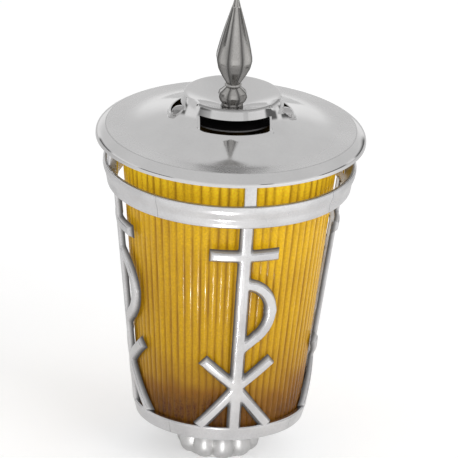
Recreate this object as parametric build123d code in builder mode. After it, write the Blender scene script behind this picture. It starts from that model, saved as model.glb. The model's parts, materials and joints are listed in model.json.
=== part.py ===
from build123d import *
import math
import os

# Lantern-type sanctuary lamp, in millimetres. +Z is up, and the origin is at the middle of the foot's
# underside. The front of the frame faces -Y.

# ---- driving sizes ----------------------------------------------------------------------------------

# Foot: a lobed boss on the axis.
FOOT_RADIUS = 23.2
FOOT_LOBES = 10
LOBE_RADIUS = 6.3
LOBE_CENTRE_HEIGHT = 5.4
FOOT_NECK_RADIUS = 18.0
FOOT_NECK_HEIGHT = 11.0
FOOT_NECK_CURVE = 14.0
FOOT_FLANGE_RADIUS = 31.0
FOOT_FLANGE_THICKNESS = 3.6

# Frame: base ring, window with the openwork monogram, main ring, posts.
BASE_RING_LOW = 21.8
BASE_RING_HEIGHT = 8.7
BASE_RING_WALL = 3.4
BASE_RING_FLARE = 2.2
FLANGE_STEP = 0.8
FLANGE_THICKNESS = 2.4
FLANGE_INNER_RADIUS = 34.0
FRAME_RADIUS_LOW = 48.8
FRAME_RADIUS_HIGH = 64.65
WINDOW_HEIGHT = 126.3
MONOGRAM_DEPTH = 3.2
MAIN_RING_HEIGHT = 14.1
MAIN_RING_BEAD_OUT = 3.2
MAIN_RING_BEAD_HEIGHT = 2.4
MAIN_RING_LIP_OUT = 5.65
MAIN_RING_LIP_LOW = 11.0
MAIN_RING_LIP_WALL = 2.2
MAIN_RING_LIP_EDGE = 0.4
MAIN_RING_LIP_DROP = 1.5
MAIN_RING_BEAD_CURVE = 2.6
MAIN_RING_BEAD_FOOT = 1.7
MAIN_RING_COVE_CURVE = 14.0
GAP_HEIGHT = 13.4
POST_WIDTH = 7.0
POST_THICKNESS = 5.5
POST_ROOT = 8.0
POST_INTO_LIP = 0.6
POST_CORNER = 1.0
QUARTERS = {"front": 0, "right": 90, "back": 180, "left": 270}

# Monogram, in the front plane: half widths across and distances down from the main ring.
BAR_WIDTH = 7.4
CROSSBAR_WIDTH = 6.4
CROSSBAR_REACH = 19.0
CROSSBAR_DROP = 19.4
BOWL_WIDTH = 6.0
BOWL_REACH = 17.6
BOWL_DROP = 37.0
BOWL_LOWER_RADIUS = 20.0
BOWL_LOWER_TURN = 50.0
SALTIRE_WIDTH = 6.2
SALTIRE_REACH = 20.2
SALTIRE_DROP = 102.1
SALTIRE_ARM_UP = 16.6

# Glass tube, leaning outwards, with convex ribs on its outside.
GLASS_RIBS = 72
GLASS_WALL = 3.0
GLASS_RIB_DEPTH = 0.6
GLASS_FLARE = 0.1022
GLASS_CLEARANCE = 0.4

# Base pan, tray and gaskets.
PAN_THICKNESS = 2.0
PAN_CLEARANCE = 0.3
GASKET_THICKNESS = 1.5
UPPER_GASKET_THICKNESS = 2.5
TRAY_RADIUS = 33.6
TRAY_RIM = 6.0
TRAY_WALL = 0.9

# Seat ring, on the posts and under the lid.
SEAT_RING_THICKNESS = 2.5
SEAT_RING_INNER_RADIUS = 56.5
SEAT_RING_OUTER_RADIUS = 69.5

# Lid.
LID_RADIUS = 75.0
LID_WALL = 1.8
LID_RIM_HEIGHT = 1.2
LID_SHOULDER_RADIUS = 69.5
LID_SHOULDER_RISE = 5.3
LID_SHOULDER_SLOPE = 26.0
LID_BRIM_SLOPE = 1.0
LID_BRIM_CURVE = 82.0
LID_CONE_SLOPE = 15.5
LID_RIM_OVERHANG = 0.2
LID_LAND_WIDTH = 4.5
SPIGOT_WALL = 2.5
SPIGOT_ROOT = 0.3
SPIGOT_DEPTH = 2.0
SPIGOT_CLEARANCE = 0.5
LID_TURN = -6.3

# Turret on the lid: a round, slightly tapered drum with a dished top and three louvres.
TURRET_FOOT_RADIUS = 30.7
TURRET_TOP_RADIUS = 26.7
TURRET_HEIGHT = 20.4
TURRET_FLARE = 7.0
TURRET_WALL = 2.0
LOUVRES = 3
HOOD_HEIGHT = 5.7
LIP_RADIUS = 33.7
LIP_ROOT_RADIUS = 36.4
LIP_WALL = 1.1
LIP_HEIGHT = 8.2
LIP_ROOT_HEIGHT = 5.5
LIP_END_WIDTH = 1.5
DISH_RIM = 0.9
DISH_HUB_RADIUS = 6.2
DISH_SLOPE = 19.2
SLOT_WIDTH = 39.0

# Finial, eight-sided.
FINIAL_SIDES = 8
FINIAL_SEAT_HEIGHT = 1.2
BULB_RADIUS = 8.5
BULB_HEIGHT = 5.5
NECK_RADIUS = 3.9
NECK_BEAD_RADIUS = 4.7
NECK_HEIGHT = 11.8
SPEAR_RADIUS = 10.6
SPEAR_WIDEST_HEIGHT = 27.2
SPEAR_BULGE = 0.5
TIP_BEAD_HEIGHT = 57.6
TIP_BEAD_RADIUS = 2.5
SPEAR_END_RADIUS = 2.1
BEAD_HALF_HEIGHT = 1.0
BEAD_EDGE = 0.5
TIP_RADIUS = 0.5
FINIAL_HEIGHT = 66.1

# Heat shield and what holds it.
SHIELD_RADIUS = 25.0
SHIELD_THICKNESS = 0.8
SHIELD_DROP = 3.4
STUD_RADIUS = 2.5
STUD_IN_FINIAL = 9.0
WASHER_RADIUS = 6.0
WASHER_THICKNESS = 0.8
SPACER_RADIUS = 4.5
NUT_HEIGHT = 4.0
NUT_ACROSS_FLATS = 8.0

# Refill candle.
CUP_RADIUS = 30.0
CUP_HEIGHT = 112.0
CUP_WALL = 1.0
CUP_FLOOR = 1.2
PUNT_RADIUS = 9.5
PUNT_HEIGHT = 3.2
WAX_BELOW_RIM = 8.0
WICK_RADIUS = 1.2
WICK_ABOVE_WAX = 9.0
SUSTAINER_RADIUS = 8.0
SUSTAINER_THICKNESS = 0.5

# Screws and the fixing thread.
M3_RADIUS = 1.5
M3_HEAD_RADIUS = 2.75
M3_HEAD_HEIGHT = 1.7
M3_SINK_RADIUS = 2.9
BASE_SCREW_CIRCLE = 37.6
BASE_SCREWS_PER_QUARTER = 2
BASE_SCREW_LENGTH = 4.0
SEAT_SCREW_LENGTH = 10.0
M4_RADIUS = 2.0
M4_SINK_RADIUS = 3.4
FOOT_SCREWS = 3
FOOT_SCREW_CIRCLE = 21.0
FOOT_SCREW_LENGTH = 5.2
TRAY_SCREW_RADIUS = 2.5
TRAY_SCREW_HEAD_RADIUS = 5.0
TRAY_SCREW_HEAD_HEIGHT = 2.2
TRAY_SCREW_LENGTH = 9.0
INSERT_RADIUS = 7.0
INSERT_THREAD_RADIUS = 4.25
INSERT_LENGTH = 13.5
INSERT_RECESS = 0.5

# Clearances.
THREAD_CLEARANCE = 0.05
HOLE_CLEARANCE = 0.2
SINK_CLEARANCE = 0.1
MOULDED_CLEARANCE = 0.1
BORE_RELIEF = 0.5
OVERLAP = 1.0

# ---- heights and radii that follow ------------------------------------------------------------------

FLANGE_TOP = BASE_RING_LOW + FLANGE_STEP + FLANGE_THICKNESS
PAN_TOP = FLANGE_TOP + PAN_THICKNESS
BASE_RING_TOP = BASE_RING_LOW + BASE_RING_HEIGHT
MAIN_RING_LOW = BASE_RING_TOP + WINDOW_HEIGHT
MAIN_RING_TOP = MAIN_RING_LOW + MAIN_RING_HEIGHT
LID_RIM_LOW = MAIN_RING_TOP + GAP_HEIGHT
POST_TOP = LID_RIM_LOW + LID_RIM_OVERHANG
SEAT_RING_TOP = POST_TOP + SEAT_RING_THICKNESS
FRAME_SLOPE = (FRAME_RADIUS_HIGH - FRAME_RADIUS_LOW) / WINDOW_HEIGHT
BASE_BORE_RADIUS = FRAME_RADIUS_LOW - BASE_RING_WALL
LIP_INNER_RADIUS = FRAME_RADIUS_HIGH + MAIN_RING_LIP_OUT - MAIN_RING_LIP_WALL
POST_OUTER = LIP_INNER_RADIUS + POST_INTO_LIP
POST_MIDDLE = POST_OUTER - POST_THICKNESS / 2

GLASS_LOW = PAN_TOP + GASKET_THICKNESS
GLASS_TOP = POST_TOP - UPPER_GASKET_THICKNESS
GLASS_RADIUS_LOW = BASE_BORE_RADIUS - GLASS_CLEARANCE - GLASS_FLARE * (BASE_RING_TOP - GLASS_LOW)
GLASS_RADIUS_TOP = GLASS_RADIUS_LOW + GLASS_FLARE * (GLASS_TOP - GLASS_LOW)

LID_SHOULDER_HEIGHT = LID_RIM_LOW + LID_RIM_HEIGHT + LID_SHOULDER_RISE
TURRET_TOP = LID_SHOULDER_HEIGHT + TURRET_HEIGHT
DISH_GRADIENT = math.tan(math.radians(DISH_SLOPE))
DISH_HUB_HEIGHT = TURRET_TOP - DISH_GRADIENT * (TURRET_TOP_RADIUS - DISH_RIM - DISH_HUB_RADIUS)
PLATE_UNDERSIDE = DISH_HUB_HEIGHT - TURRET_WALL
SHIELD_TOP = PLATE_UNDERSIDE - WASHER_THICKNESS - SHIELD_DROP

TRAY_FLOOR_TOP = PAN_TOP + TRAY_WALL
CUP_TOP = TRAY_FLOOR_TOP + CUP_HEIGHT
PUNT_TOP = TRAY_FLOOR_TOP + PUNT_HEIGHT + CUP_FLOOR
WAX_TOP = CUP_TOP - WAX_BELOW_RIM

FULL_TURN = 360.0
QUARTER_TURN = 90.0
FRONT = -90.0

os.makedirs("parts", exist_ok=True)


def radial_plane(angle):
    """The upright plane through the axis at this angle: its x is the radius and its y is the height."""
    across = math.cos(math.radians(angle))
    along = math.sin(math.radians(angle))
    return Plane(origin=(0, 0, 0), x_dir=(across, along, 0), z_dir=(along, -across, 0))


def frame_radius(height):
    """Outer radius of the frame's cone at this height."""
    return FRAME_RADIUS_LOW + FRAME_SLOPE * (height - BASE_RING_TOP)


def save(part, name):
    """Label one finished piece and write it."""
    part.label = name
    export_step(part, f"parts/{name}.step")


def turned_screw(shank, head, head_height, length, sunk):
    """A screw on the axis, its head's top at height 0, pointing down."""
    with BuildPart() as screw:
        with BuildSketch(Plane.XZ):
            with BuildLine():
                under_head = [(shank, -head_height)] if sunk else [(head, -head_height), (shank, -head_height)]
                Polyline((0, 0), (head, 0), *under_head, (shank, -length), (0, -length), close=True)
            make_face()
        revolve(axis=Axis.Z)
    return screw.part


def screw_group(name, screw, circle, count, start, height):
    """Equal screws on a circle, saved as one node."""
    with BuildPart(Plane.XY.offset(height)) as group:
        with PolarLocations(circle, count, start_angle=start):
            add(screw)
    save(group.part, name)


def ring(name, inner, outer, low, high):
    """A plain flat ring or washer."""
    with BuildPart() as piece:
        with BuildSketch(Plane.XY.offset(low)):
            Circle(outer)
            Circle(inner, mode=Mode.SUBTRACT)
        extrude(amount=high - low)
    save(piece.part, name)


# ---- frame: four quarter castings -------------------------------------------------------------------


def monogram_casting():
    """The openwork between the rings: stem, crossbar, bowl and saltire, lying on the frame's cone."""
    crossbar_height = MAIN_RING_LOW - CROSSBAR_DROP
    bowl_height = MAIN_RING_LOW - BOWL_DROP
    saltire_height = MAIN_RING_LOW - SALTIRE_DROP
    arm_down = saltire_height - BASE_RING_TOP + SALTIRE_WIDTH / 2
    with BuildPart() as monogram:
        with BuildSketch(Plane.XZ):
            with Locations((0, (BASE_RING_TOP + MAIN_RING_LOW) / 2)):
                Rectangle(BAR_WIDTH, WINDOW_HEIGHT + 2 * OVERLAP)
            with Locations((0, crossbar_height)):
                Rectangle(2 * CROSSBAR_REACH, CROSSBAR_WIDTH)
            with BuildLine() as bowl:
                upper = JernArc((0, bowl_height), (1, 0), BOWL_REACH, -QUARTER_TURN)
                lower = JernArc(upper @ 1, upper % 1, BOWL_LOWER_RADIUS, -BOWL_LOWER_TURN)
                run = (lower @ 1).X / abs((lower % 1).X)
                Line(lower @ 1, lower @ 1 + (lower % 1) * run)
            trace(bowl.line, line_width=BOWL_WIDTH)
            for side in (-1, 1):
                with BuildLine() as arms:
                    Polyline(
                        (side * SALTIRE_REACH, saltire_height + SALTIRE_ARM_UP),
                        (0, saltire_height),
                        (side * SALTIRE_REACH, saltire_height - arm_down),
                    )
                trace(arms.line, line_width=SALTIRE_WIDTH)
        extrude(amount=FRAME_RADIUS_HIGH + OVERLAP)
        with BuildSketch(Plane.XZ):
            with BuildLine():
                Polyline(
                    (frame_radius(BASE_RING_TOP - OVERLAP) - MONOGRAM_DEPTH, BASE_RING_TOP - OVERLAP),
                    (frame_radius(BASE_RING_TOP - OVERLAP), BASE_RING_TOP - OVERLAP),
                    (frame_radius(MAIN_RING_LOW + OVERLAP), MAIN_RING_LOW + OVERLAP),
                    (frame_radius(MAIN_RING_LOW + OVERLAP) - MONOGRAM_DEPTH, MAIN_RING_LOW + OVERLAP),
                    close=True,
                )
            make_face()
        revolve(axis=Axis.Z, mode=Mode.INTERSECT)
    return monogram.part


def frame_quarter():
    """One casting at the front: its quarter of both rings, the monogram and the post."""
    sector_start = radial_plane(FRONT - QUARTER_TURN / 2)
    foot_radius = FRAME_RADIUS_LOW - BASE_RING_FLARE
    flange_low = BASE_RING_LOW + FLANGE_STEP
    ring_inner = FRAME_RADIUS_HIGH - MONOGRAM_DEPTH
    bead_radius = FRAME_RADIUS_HIGH + MAIN_RING_BEAD_OUT
    lip_radius = FRAME_RADIUS_HIGH + MAIN_RING_LIP_OUT
    with BuildPart() as quarter:
        with BuildSketch(sector_start):
            with BuildLine():
                Polyline(
                    (foot_radius - FLANGE_STEP, BASE_RING_LOW),
                    (BASE_BORE_RADIUS - 2 * FLANGE_STEP, BASE_RING_LOW),
                    (BASE_BORE_RADIUS - 3 * FLANGE_STEP, flange_low),
                    (FLANGE_INNER_RADIUS, flange_low),
                    (FLANGE_INNER_RADIUS, FLANGE_TOP),
                    (BASE_BORE_RADIUS, FLANGE_TOP),
                    (BASE_BORE_RADIUS, BASE_RING_TOP),
                    (FRAME_RADIUS_LOW, BASE_RING_TOP),
                    (foot_radius, flange_low),
                )
                RadiusArc((foot_radius, flange_low), (foot_radius - FLANGE_STEP, BASE_RING_LOW), FLANGE_STEP)
            make_face()
        revolve(axis=Axis.Z, revolution_arc=QUARTER_TURN)
        with BuildSketch(sector_start):
            with BuildLine():
                cove_low = (bead_radius, MAIN_RING_LOW + MAIN_RING_BEAD_HEIGHT)
                cove_high = (lip_radius - MAIN_RING_LIP_EDGE, MAIN_RING_LOW + MAIN_RING_LIP_LOW - MAIN_RING_LIP_DROP)
                bead_low = (bead_radius - MAIN_RING_BEAD_FOOT, MAIN_RING_LOW)
                Polyline(
                    cove_high,
                    (lip_radius, MAIN_RING_LOW + MAIN_RING_LIP_LOW),
                    (lip_radius, MAIN_RING_TOP),
                    (LIP_INNER_RADIUS, MAIN_RING_TOP),
                    (ring_inner, MAIN_RING_LOW),
                    bead_low,
                )
                RadiusArc(bead_low, cove_low, -MAIN_RING_BEAD_CURVE)
                RadiusArc(cove_low, cove_high, MAIN_RING_COVE_CURVE)
            make_face()
        revolve(axis=Axis.Z, revolution_arc=QUARTER_TURN)
        add(monogram_casting())
        with BuildSketch(Plane.XY.offset(MAIN_RING_TOP - POST_ROOT)):
            with Locations((0, -POST_MIDDLE)):
                RectangleRounded(POST_WIDTH, POST_THICKNESS, POST_CORNER)
        extrude(amount=POST_TOP - MAIN_RING_TOP + POST_ROOT)
        with Locations((0, -POST_MIDDLE, POST_TOP)):
            Hole(M3_RADIUS + THREAD_CLEARANCE, depth=SEAT_SCREW_LENGTH)
        step = QUARTER_TURN / BASE_SCREWS_PER_QUARTER
        with Locations(Plane.XY.offset(FLANGE_TOP)):
            with PolarLocations(
                BASE_SCREW_CIRCLE,
                BASE_SCREWS_PER_QUARTER,
                start_angle=FRONT - QUARTER_TURN / 2 + step / 2,
                angular_range=QUARTER_TURN,
                endpoint=False,
            ):
                Hole(M3_RADIUS + THREAD_CLEARANCE, depth=2 * FLANGE_THICKNESS)
    return quarter.part


quarter_at_front = frame_quarter()
for side, turn in QUARTERS.items():
    with BuildPart() as quarter:
        add(quarter_at_front, rotation=(0, 0, turn))
    save(quarter.part, f"frame_quarter_{side}")


# ---- foot, pan and what fastens them ----------------------------------------------------------------

foot_top = FLANGE_TOP
tray_screw_low = TRAY_FLOOR_TOP - TRAY_SCREW_LENGTH

with BuildPart() as foot:
    with BuildSketch(Plane.XZ):
        with BuildLine():
            neck_low = (FOOT_NECK_RADIUS, FOOT_NECK_HEIGHT)
            neck_high = (FOOT_FLANGE_RADIUS, foot_top - FOOT_FLANGE_THICKNESS)
            Polyline(neck_high, (FOOT_FLANGE_RADIUS, foot_top), (0, foot_top), (0, 0), (FOOT_NECK_RADIUS, 0), neck_low)
            RadiusArc(neck_low, neck_high, FOOT_NECK_CURVE)
        make_face()
    revolve(axis=Axis.Z)
    with Locations(Plane.XY.offset(LOBE_CENTRE_HEIGHT)):
        with PolarLocations(FOOT_RADIUS - LOBE_RADIUS, FOOT_LOBES, start_angle=FRONT):
            Sphere(LOBE_RADIUS)
    split(bisect_by=Plane.XY, keep=Keep.TOP)
    with Locations(-Plane.XY):
        Hole(INSERT_RADIUS + THREAD_CLEARANCE, depth=INSERT_RECESS + INSERT_LENGTH)
    with Locations(Plane.XY.offset(foot_top)):
        Hole(TRAY_SCREW_RADIUS + THREAD_CLEARANCE, depth=foot_top - tray_screw_low + BORE_RELIEF)
        with PolarLocations(FOOT_SCREW_CIRCLE, FOOT_SCREWS, start_angle=-FRONT):
            Hole(M4_RADIUS + THREAD_CLEARANCE, depth=FOOT_SCREW_LENGTH)
save(foot.part, "foot")

with BuildPart() as fixing_insert:
    with BuildSketch(Plane.XY.offset(INSERT_RECESS)):
        Circle(INSERT_RADIUS)
        Circle(INSERT_THREAD_RADIUS, mode=Mode.SUBTRACT)
    extrude(amount=INSERT_LENGTH)
save(fixing_insert.part, "fixing_insert")

with BuildPart() as base_pan:
    with BuildSketch(Plane.XY.offset(FLANGE_TOP)):
        Circle(BASE_BORE_RADIUS - PAN_CLEARANCE)
        Circle(TRAY_SCREW_RADIUS + HOLE_CLEARANCE, mode=Mode.SUBTRACT)
        with PolarLocations(
            BASE_SCREW_CIRCLE,
            BASE_SCREWS_PER_QUARTER * len(QUARTERS),
            start_angle=QUARTER_TURN / BASE_SCREWS_PER_QUARTER / 2,
        ):
            Circle(M3_RADIUS + HOLE_CLEARANCE, mode=Mode.SUBTRACT)
    extrude(amount=PAN_THICKNESS)
    with Locations(Plane.XY.offset(PAN_TOP)):
        with PolarLocations(FOOT_SCREW_CIRCLE, FOOT_SCREWS, start_angle=-FRONT):
            CounterSinkHole(
                M4_RADIUS + HOLE_CLEARANCE,
                M4_SINK_RADIUS + 2 * SINK_CLEARANCE,
                depth=PAN_THICKNESS,
                counter_sink_angle=90,
            )
save(base_pan.part, "base_pan")

screw_group(
    "base_screws",
    turned_screw(M3_RADIUS, M3_HEAD_RADIUS, M3_HEAD_HEIGHT, M3_HEAD_HEIGHT + BASE_SCREW_LENGTH, sunk=False),
    BASE_SCREW_CIRCLE,
    BASE_SCREWS_PER_QUARTER * len(QUARTERS),
    QUARTER_TURN / BASE_SCREWS_PER_QUARTER / 2,
    PAN_TOP + M3_HEAD_HEIGHT,
)
screw_group(
    "foot_screws",
    turned_screw(M4_RADIUS, M4_SINK_RADIUS, M4_SINK_RADIUS - M4_RADIUS, FOOT_SCREW_LENGTH, sunk=True),
    FOOT_SCREW_CIRCLE,
    FOOT_SCREWS,
    -FRONT,
    PAN_TOP - SINK_CLEARANCE,
)

with BuildPart() as candle_tray:
    with BuildSketch(Plane.XZ):
        with BuildLine():
            Polyline(
                (TRAY_SCREW_RADIUS + HOLE_CLEARANCE, PAN_TOP),
                (TRAY_RADIUS - TRAY_WALL, PAN_TOP),
                (TRAY_RADIUS, PAN_TOP + TRAY_WALL),
                (TRAY_RADIUS, PAN_TOP + TRAY_RIM),
                (TRAY_RADIUS - TRAY_WALL, PAN_TOP + TRAY_RIM),
                (TRAY_RADIUS - TRAY_WALL, PAN_TOP + 2 * TRAY_WALL),
                (TRAY_RADIUS - 2 * TRAY_WALL, TRAY_FLOOR_TOP),
                (TRAY_SCREW_RADIUS + HOLE_CLEARANCE, TRAY_FLOOR_TOP),
                close=True,
            )
        make_face()
    revolve(axis=Axis.Z)
save(candle_tray.part, "candle_tray")

tray_screw_head = turned_screw(
    TRAY_SCREW_RADIUS,
    TRAY_SCREW_HEAD_RADIUS,
    TRAY_SCREW_HEAD_HEIGHT,
    TRAY_SCREW_HEAD_HEIGHT + TRAY_SCREW_LENGTH,
    sunk=False,
)
with BuildPart(Plane.XY.offset(TRAY_FLOOR_TOP + TRAY_SCREW_HEAD_HEIGHT)) as tray_screw:
    with Locations((0, 0)):
        add(tray_screw_head)
save(tray_screw.part, "tray_screw")


# ---- glass and its gaskets --------------------------------------------------------------------------


def ribbed_outline(crest_radius):
    """A closed ring of convex ribs, its crests on this radius."""
    valley_radius = crest_radius - GLASS_RIB_DEPTH
    step = FULL_TURN / GLASS_RIBS
    with BuildLine() as outline:
        for rib in range(GLASS_RIBS):
            ThreePointArc(
                PolarLocations(valley_radius, 1, start_angle=rib * step).locations[0].position,
                PolarLocations(crest_radius, 1, start_angle=(rib + 0.5) * step).locations[0].position,
                PolarLocations(valley_radius, 1, start_angle=(rib + 1) * step).locations[0].position,
            )
    return outline.line


with BuildPart() as glass:
    with BuildSketch(Plane.XY.offset(GLASS_LOW)):
        add(ribbed_outline(GLASS_RADIUS_LOW))
        make_face()
    with BuildSketch(Plane.XY.offset(GLASS_TOP)):
        add(ribbed_outline(GLASS_RADIUS_TOP))
        make_face()
    loft(ruled=True)
    with BuildSketch(Plane.XY.offset(GLASS_LOW)):
        Circle(GLASS_RADIUS_LOW - GLASS_WALL)
    with BuildSketch(Plane.XY.offset(GLASS_TOP)):
        Circle(GLASS_RADIUS_TOP - GLASS_WALL)
    loft(ruled=True, mode=Mode.SUBTRACT)
save(glass.part, "glass")

ring("lower_gasket", GLASS_RADIUS_LOW - GLASS_WALL, BASE_BORE_RADIUS - PAN_CLEARANCE, PAN_TOP, GLASS_LOW)
ring("upper_gasket", GLASS_RADIUS_TOP - GLASS_WALL, GLASS_RADIUS_TOP, GLASS_TOP, POST_TOP)


# ---- seat ring --------------------------------------------------------------------------------------

with BuildPart() as seat_ring:
    with BuildSketch(Plane.XY.offset(POST_TOP)):
        Circle(SEAT_RING_OUTER_RADIUS)
        Circle(SEAT_RING_INNER_RADIUS, mode=Mode.SUBTRACT)
    extrude(amount=SEAT_RING_THICKNESS)
    with Locations(Plane.XY.offset(SEAT_RING_TOP)):
        with PolarLocations(POST_MIDDLE, len(QUARTERS), start_angle=FRONT):
            CounterSinkHole(
                M3_RADIUS + HOLE_CLEARANCE,
                M3_SINK_RADIUS + 2 * SINK_CLEARANCE,
                depth=SEAT_RING_THICKNESS,
                counter_sink_angle=90,
            )
save(seat_ring.part, "seat_ring")

screw_group(
    "seat_ring_screws",
    turned_screw(M3_RADIUS, M3_SINK_RADIUS, M3_SINK_RADIUS - M3_RADIUS, SEAT_SCREW_LENGTH, sunk=True),
    POST_MIDDLE,
    len(QUARTERS),
    FRONT,
    SEAT_RING_TOP - SINK_CLEARANCE,
)


# ---- lid --------------------------------------------------------------------------------------------


def dish_cut(hub_height):
    """All that lies over the dished top whose hub is at this height."""
    reach = 2 * TURRET_FOOT_RADIUS
    with BuildPart() as cut:
        with BuildSketch(Plane.XZ):
            with BuildLine():
                Polyline(
                    (0, hub_height),
                    (DISH_HUB_RADIUS, hub_height),
                    (reach, hub_height + DISH_GRADIENT * (reach - DISH_HUB_RADIUS)),
                    (0, hub_height + DISH_GRADIENT * (reach - DISH_HUB_RADIUS)),
                    close=True,
                )
            make_face()
        revolve(axis=Axis.Z)
    return cut.part


def disc_height(radius):
    """Height of the disc's top between the brim's curve and the turret."""
    curve_turn = math.radians(LID_CONE_SLOPE)
    brim_turn = math.radians(LID_BRIM_SLOPE)
    curve_width = LID_BRIM_CURVE * (math.sin(curve_turn) - math.sin(brim_turn))
    curve_rise = LID_BRIM_CURVE * (math.cos(brim_turn) - math.cos(curve_turn))
    cone_width = LID_SHOULDER_RADIUS - curve_width - radius
    return LID_SHOULDER_HEIGHT + curve_rise + cone_width * math.tan(curve_turn)


def hat(down, inward):
    """The solid under the lid's skin, with the disc lowered and the rim and turret drawn in."""
    rim_radius = LID_RADIUS - inward
    rim_top = (rim_radius, LID_RIM_LOW + LID_RIM_HEIGHT - down / 2)
    shoulder = Vector(LID_SHOULDER_RADIUS, LID_SHOULDER_HEIGHT - down)
    shoulder_rise = math.tan(math.radians(LID_SHOULDER_SLOPE))
    brim_rise = math.tan(math.radians(LID_BRIM_SLOPE))
    foot_radius = TURRET_FOOT_RADIUS - inward
    foot = (foot_radius, disc_height(foot_radius) - down)
    with BuildPart() as solid:
        with BuildSketch(Plane.XZ) as section:
            with BuildLine():
                Spline(rim_top, shoulder, tangents=[(0, 1), (-1, shoulder_rise)])
                brim = JernArc(shoulder, (-1, brim_rise), LID_BRIM_CURVE, LID_BRIM_SLOPE - LID_CONE_SLOPE)
                Polyline(
                    brim @ 1,
                    foot,
                    (TURRET_TOP_RADIUS - inward, TURRET_TOP),
                    (0, TURRET_TOP),
                    (0, LID_RIM_LOW),
                    (rim_radius, LID_RIM_LOW),
                    rim_top,
                )
            make_face()
            foot_corner = section.vertices().sort_by_distance(foot)[0]
            fillet(foot_corner, TURRET_FLARE + inward)
        revolve(axis=Axis.Z)
    return solid.part


def spigot():
    """The land that rests on the seat ring and the spigot that keeps the lid in its middle."""
    outer = SEAT_RING_INNER_RADIUS - SPIGOT_CLEARANCE
    inner = outer - SPIGOT_WALL
    land = SEAT_RING_INNER_RADIUS + LID_LAND_WIDTH
    in_skin = LID_SHOULDER_HEIGHT + SPIGOT_ROOT
    with BuildPart() as rings:
        with BuildSketch(Plane.XZ):
            with BuildLine():
                Polyline(
                    (inner, in_skin),
                    (inner, SEAT_RING_TOP - SPIGOT_DEPTH),
                    (outer, SEAT_RING_TOP - SPIGOT_DEPTH),
                    (outer, SEAT_RING_TOP),
                    (land, SEAT_RING_TOP),
                    (land, in_skin),
                    close=True,
                )
            make_face()
        revolve(axis=Axis.Z)
    return rings.part


def louvre_opening():
    """What is cut away for one louvre, on the X axis."""
    low = LID_SHOULDER_HEIGHT + LID_WALL
    high = TURRET_TOP - HOOD_HEIGHT
    middle = (low + high) / 2
    with BuildPart() as opening:
        with Locations((TURRET_FOOT_RADIUS, 0, middle)):
            Box(6 * TURRET_WALL, SLOT_WIDTH, high - low)
        with Locations((0, 0, middle)):
            Cylinder(LIP_RADIUS + LIP_WALL / 4, high - low, mode=Mode.INTERSECT)
    return opening.part


def louvre_lip():
    """The turned-up edge under one louvre's opening, on the X axis."""
    half_width = SLOT_WIDTH / 2 + LIP_END_WIDTH
    half_turn = math.degrees(math.asin(half_width / LIP_RADIUS))
    low = LID_SHOULDER_HEIGHT + LIP_ROOT_HEIGHT
    high = LID_SHOULDER_HEIGHT + LIP_HEIGHT
    with BuildPart() as lip:
        with BuildSketch(radial_plane(-half_turn)):
            with BuildLine():
                Polyline(
                    (LIP_RADIUS, low),
                    (LIP_ROOT_RADIUS, low),
                    (LIP_RADIUS + LIP_WALL, high),
                    (LIP_RADIUS, high),
                    close=True,
                )
            make_face()
        revolve(axis=Axis.Z, revolution_arc=2 * half_turn)
    return lip.part


def lid_shell():
    """Disc with the hollow turret on it: three louvres and the bore for the stud in the dished top."""
    with BuildPart() as lid:
        add(hat(0, 0))
        add(dish_cut(DISH_HUB_HEIGHT), mode=Mode.SUBTRACT)
        add(hat(LID_WALL, TURRET_WALL) - dish_cut(PLATE_UNDERSIDE), mode=Mode.SUBTRACT)
        add(spigot())
        with PolarLocations(0, LOUVRES, start_angle=FRONT + LID_TURN):
            add(louvre_opening(), mode=Mode.SUBTRACT)
        with PolarLocations(0, LOUVRES, start_angle=FRONT + LID_TURN):
            add(louvre_lip())
        with Locations(Plane.XY.offset(DISH_HUB_HEIGHT)):
            Hole(STUD_RADIUS + HOLE_CLEARANCE, depth=2 * TURRET_WALL)
    return lid.part


save(lid_shell(), "lid_shell")


def octagon(radius, height):
    """One section of the finial, a flat side towards the front of the lid."""
    with BuildSketch(Plane.XY.offset(DISH_HUB_HEIGHT + height)) as section:
        RegularPolygon(radius, FINIAL_SIDES, rotation=LID_TURN + FULL_TURN / FINIAL_SIDES / 2)
    return section.sketch


def faceted(sections):
    """Flat facets through octagons given as (radius, height over the seat)."""
    return loft([octagon(radius, height) for radius, height in sections], ruled=True)


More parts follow.
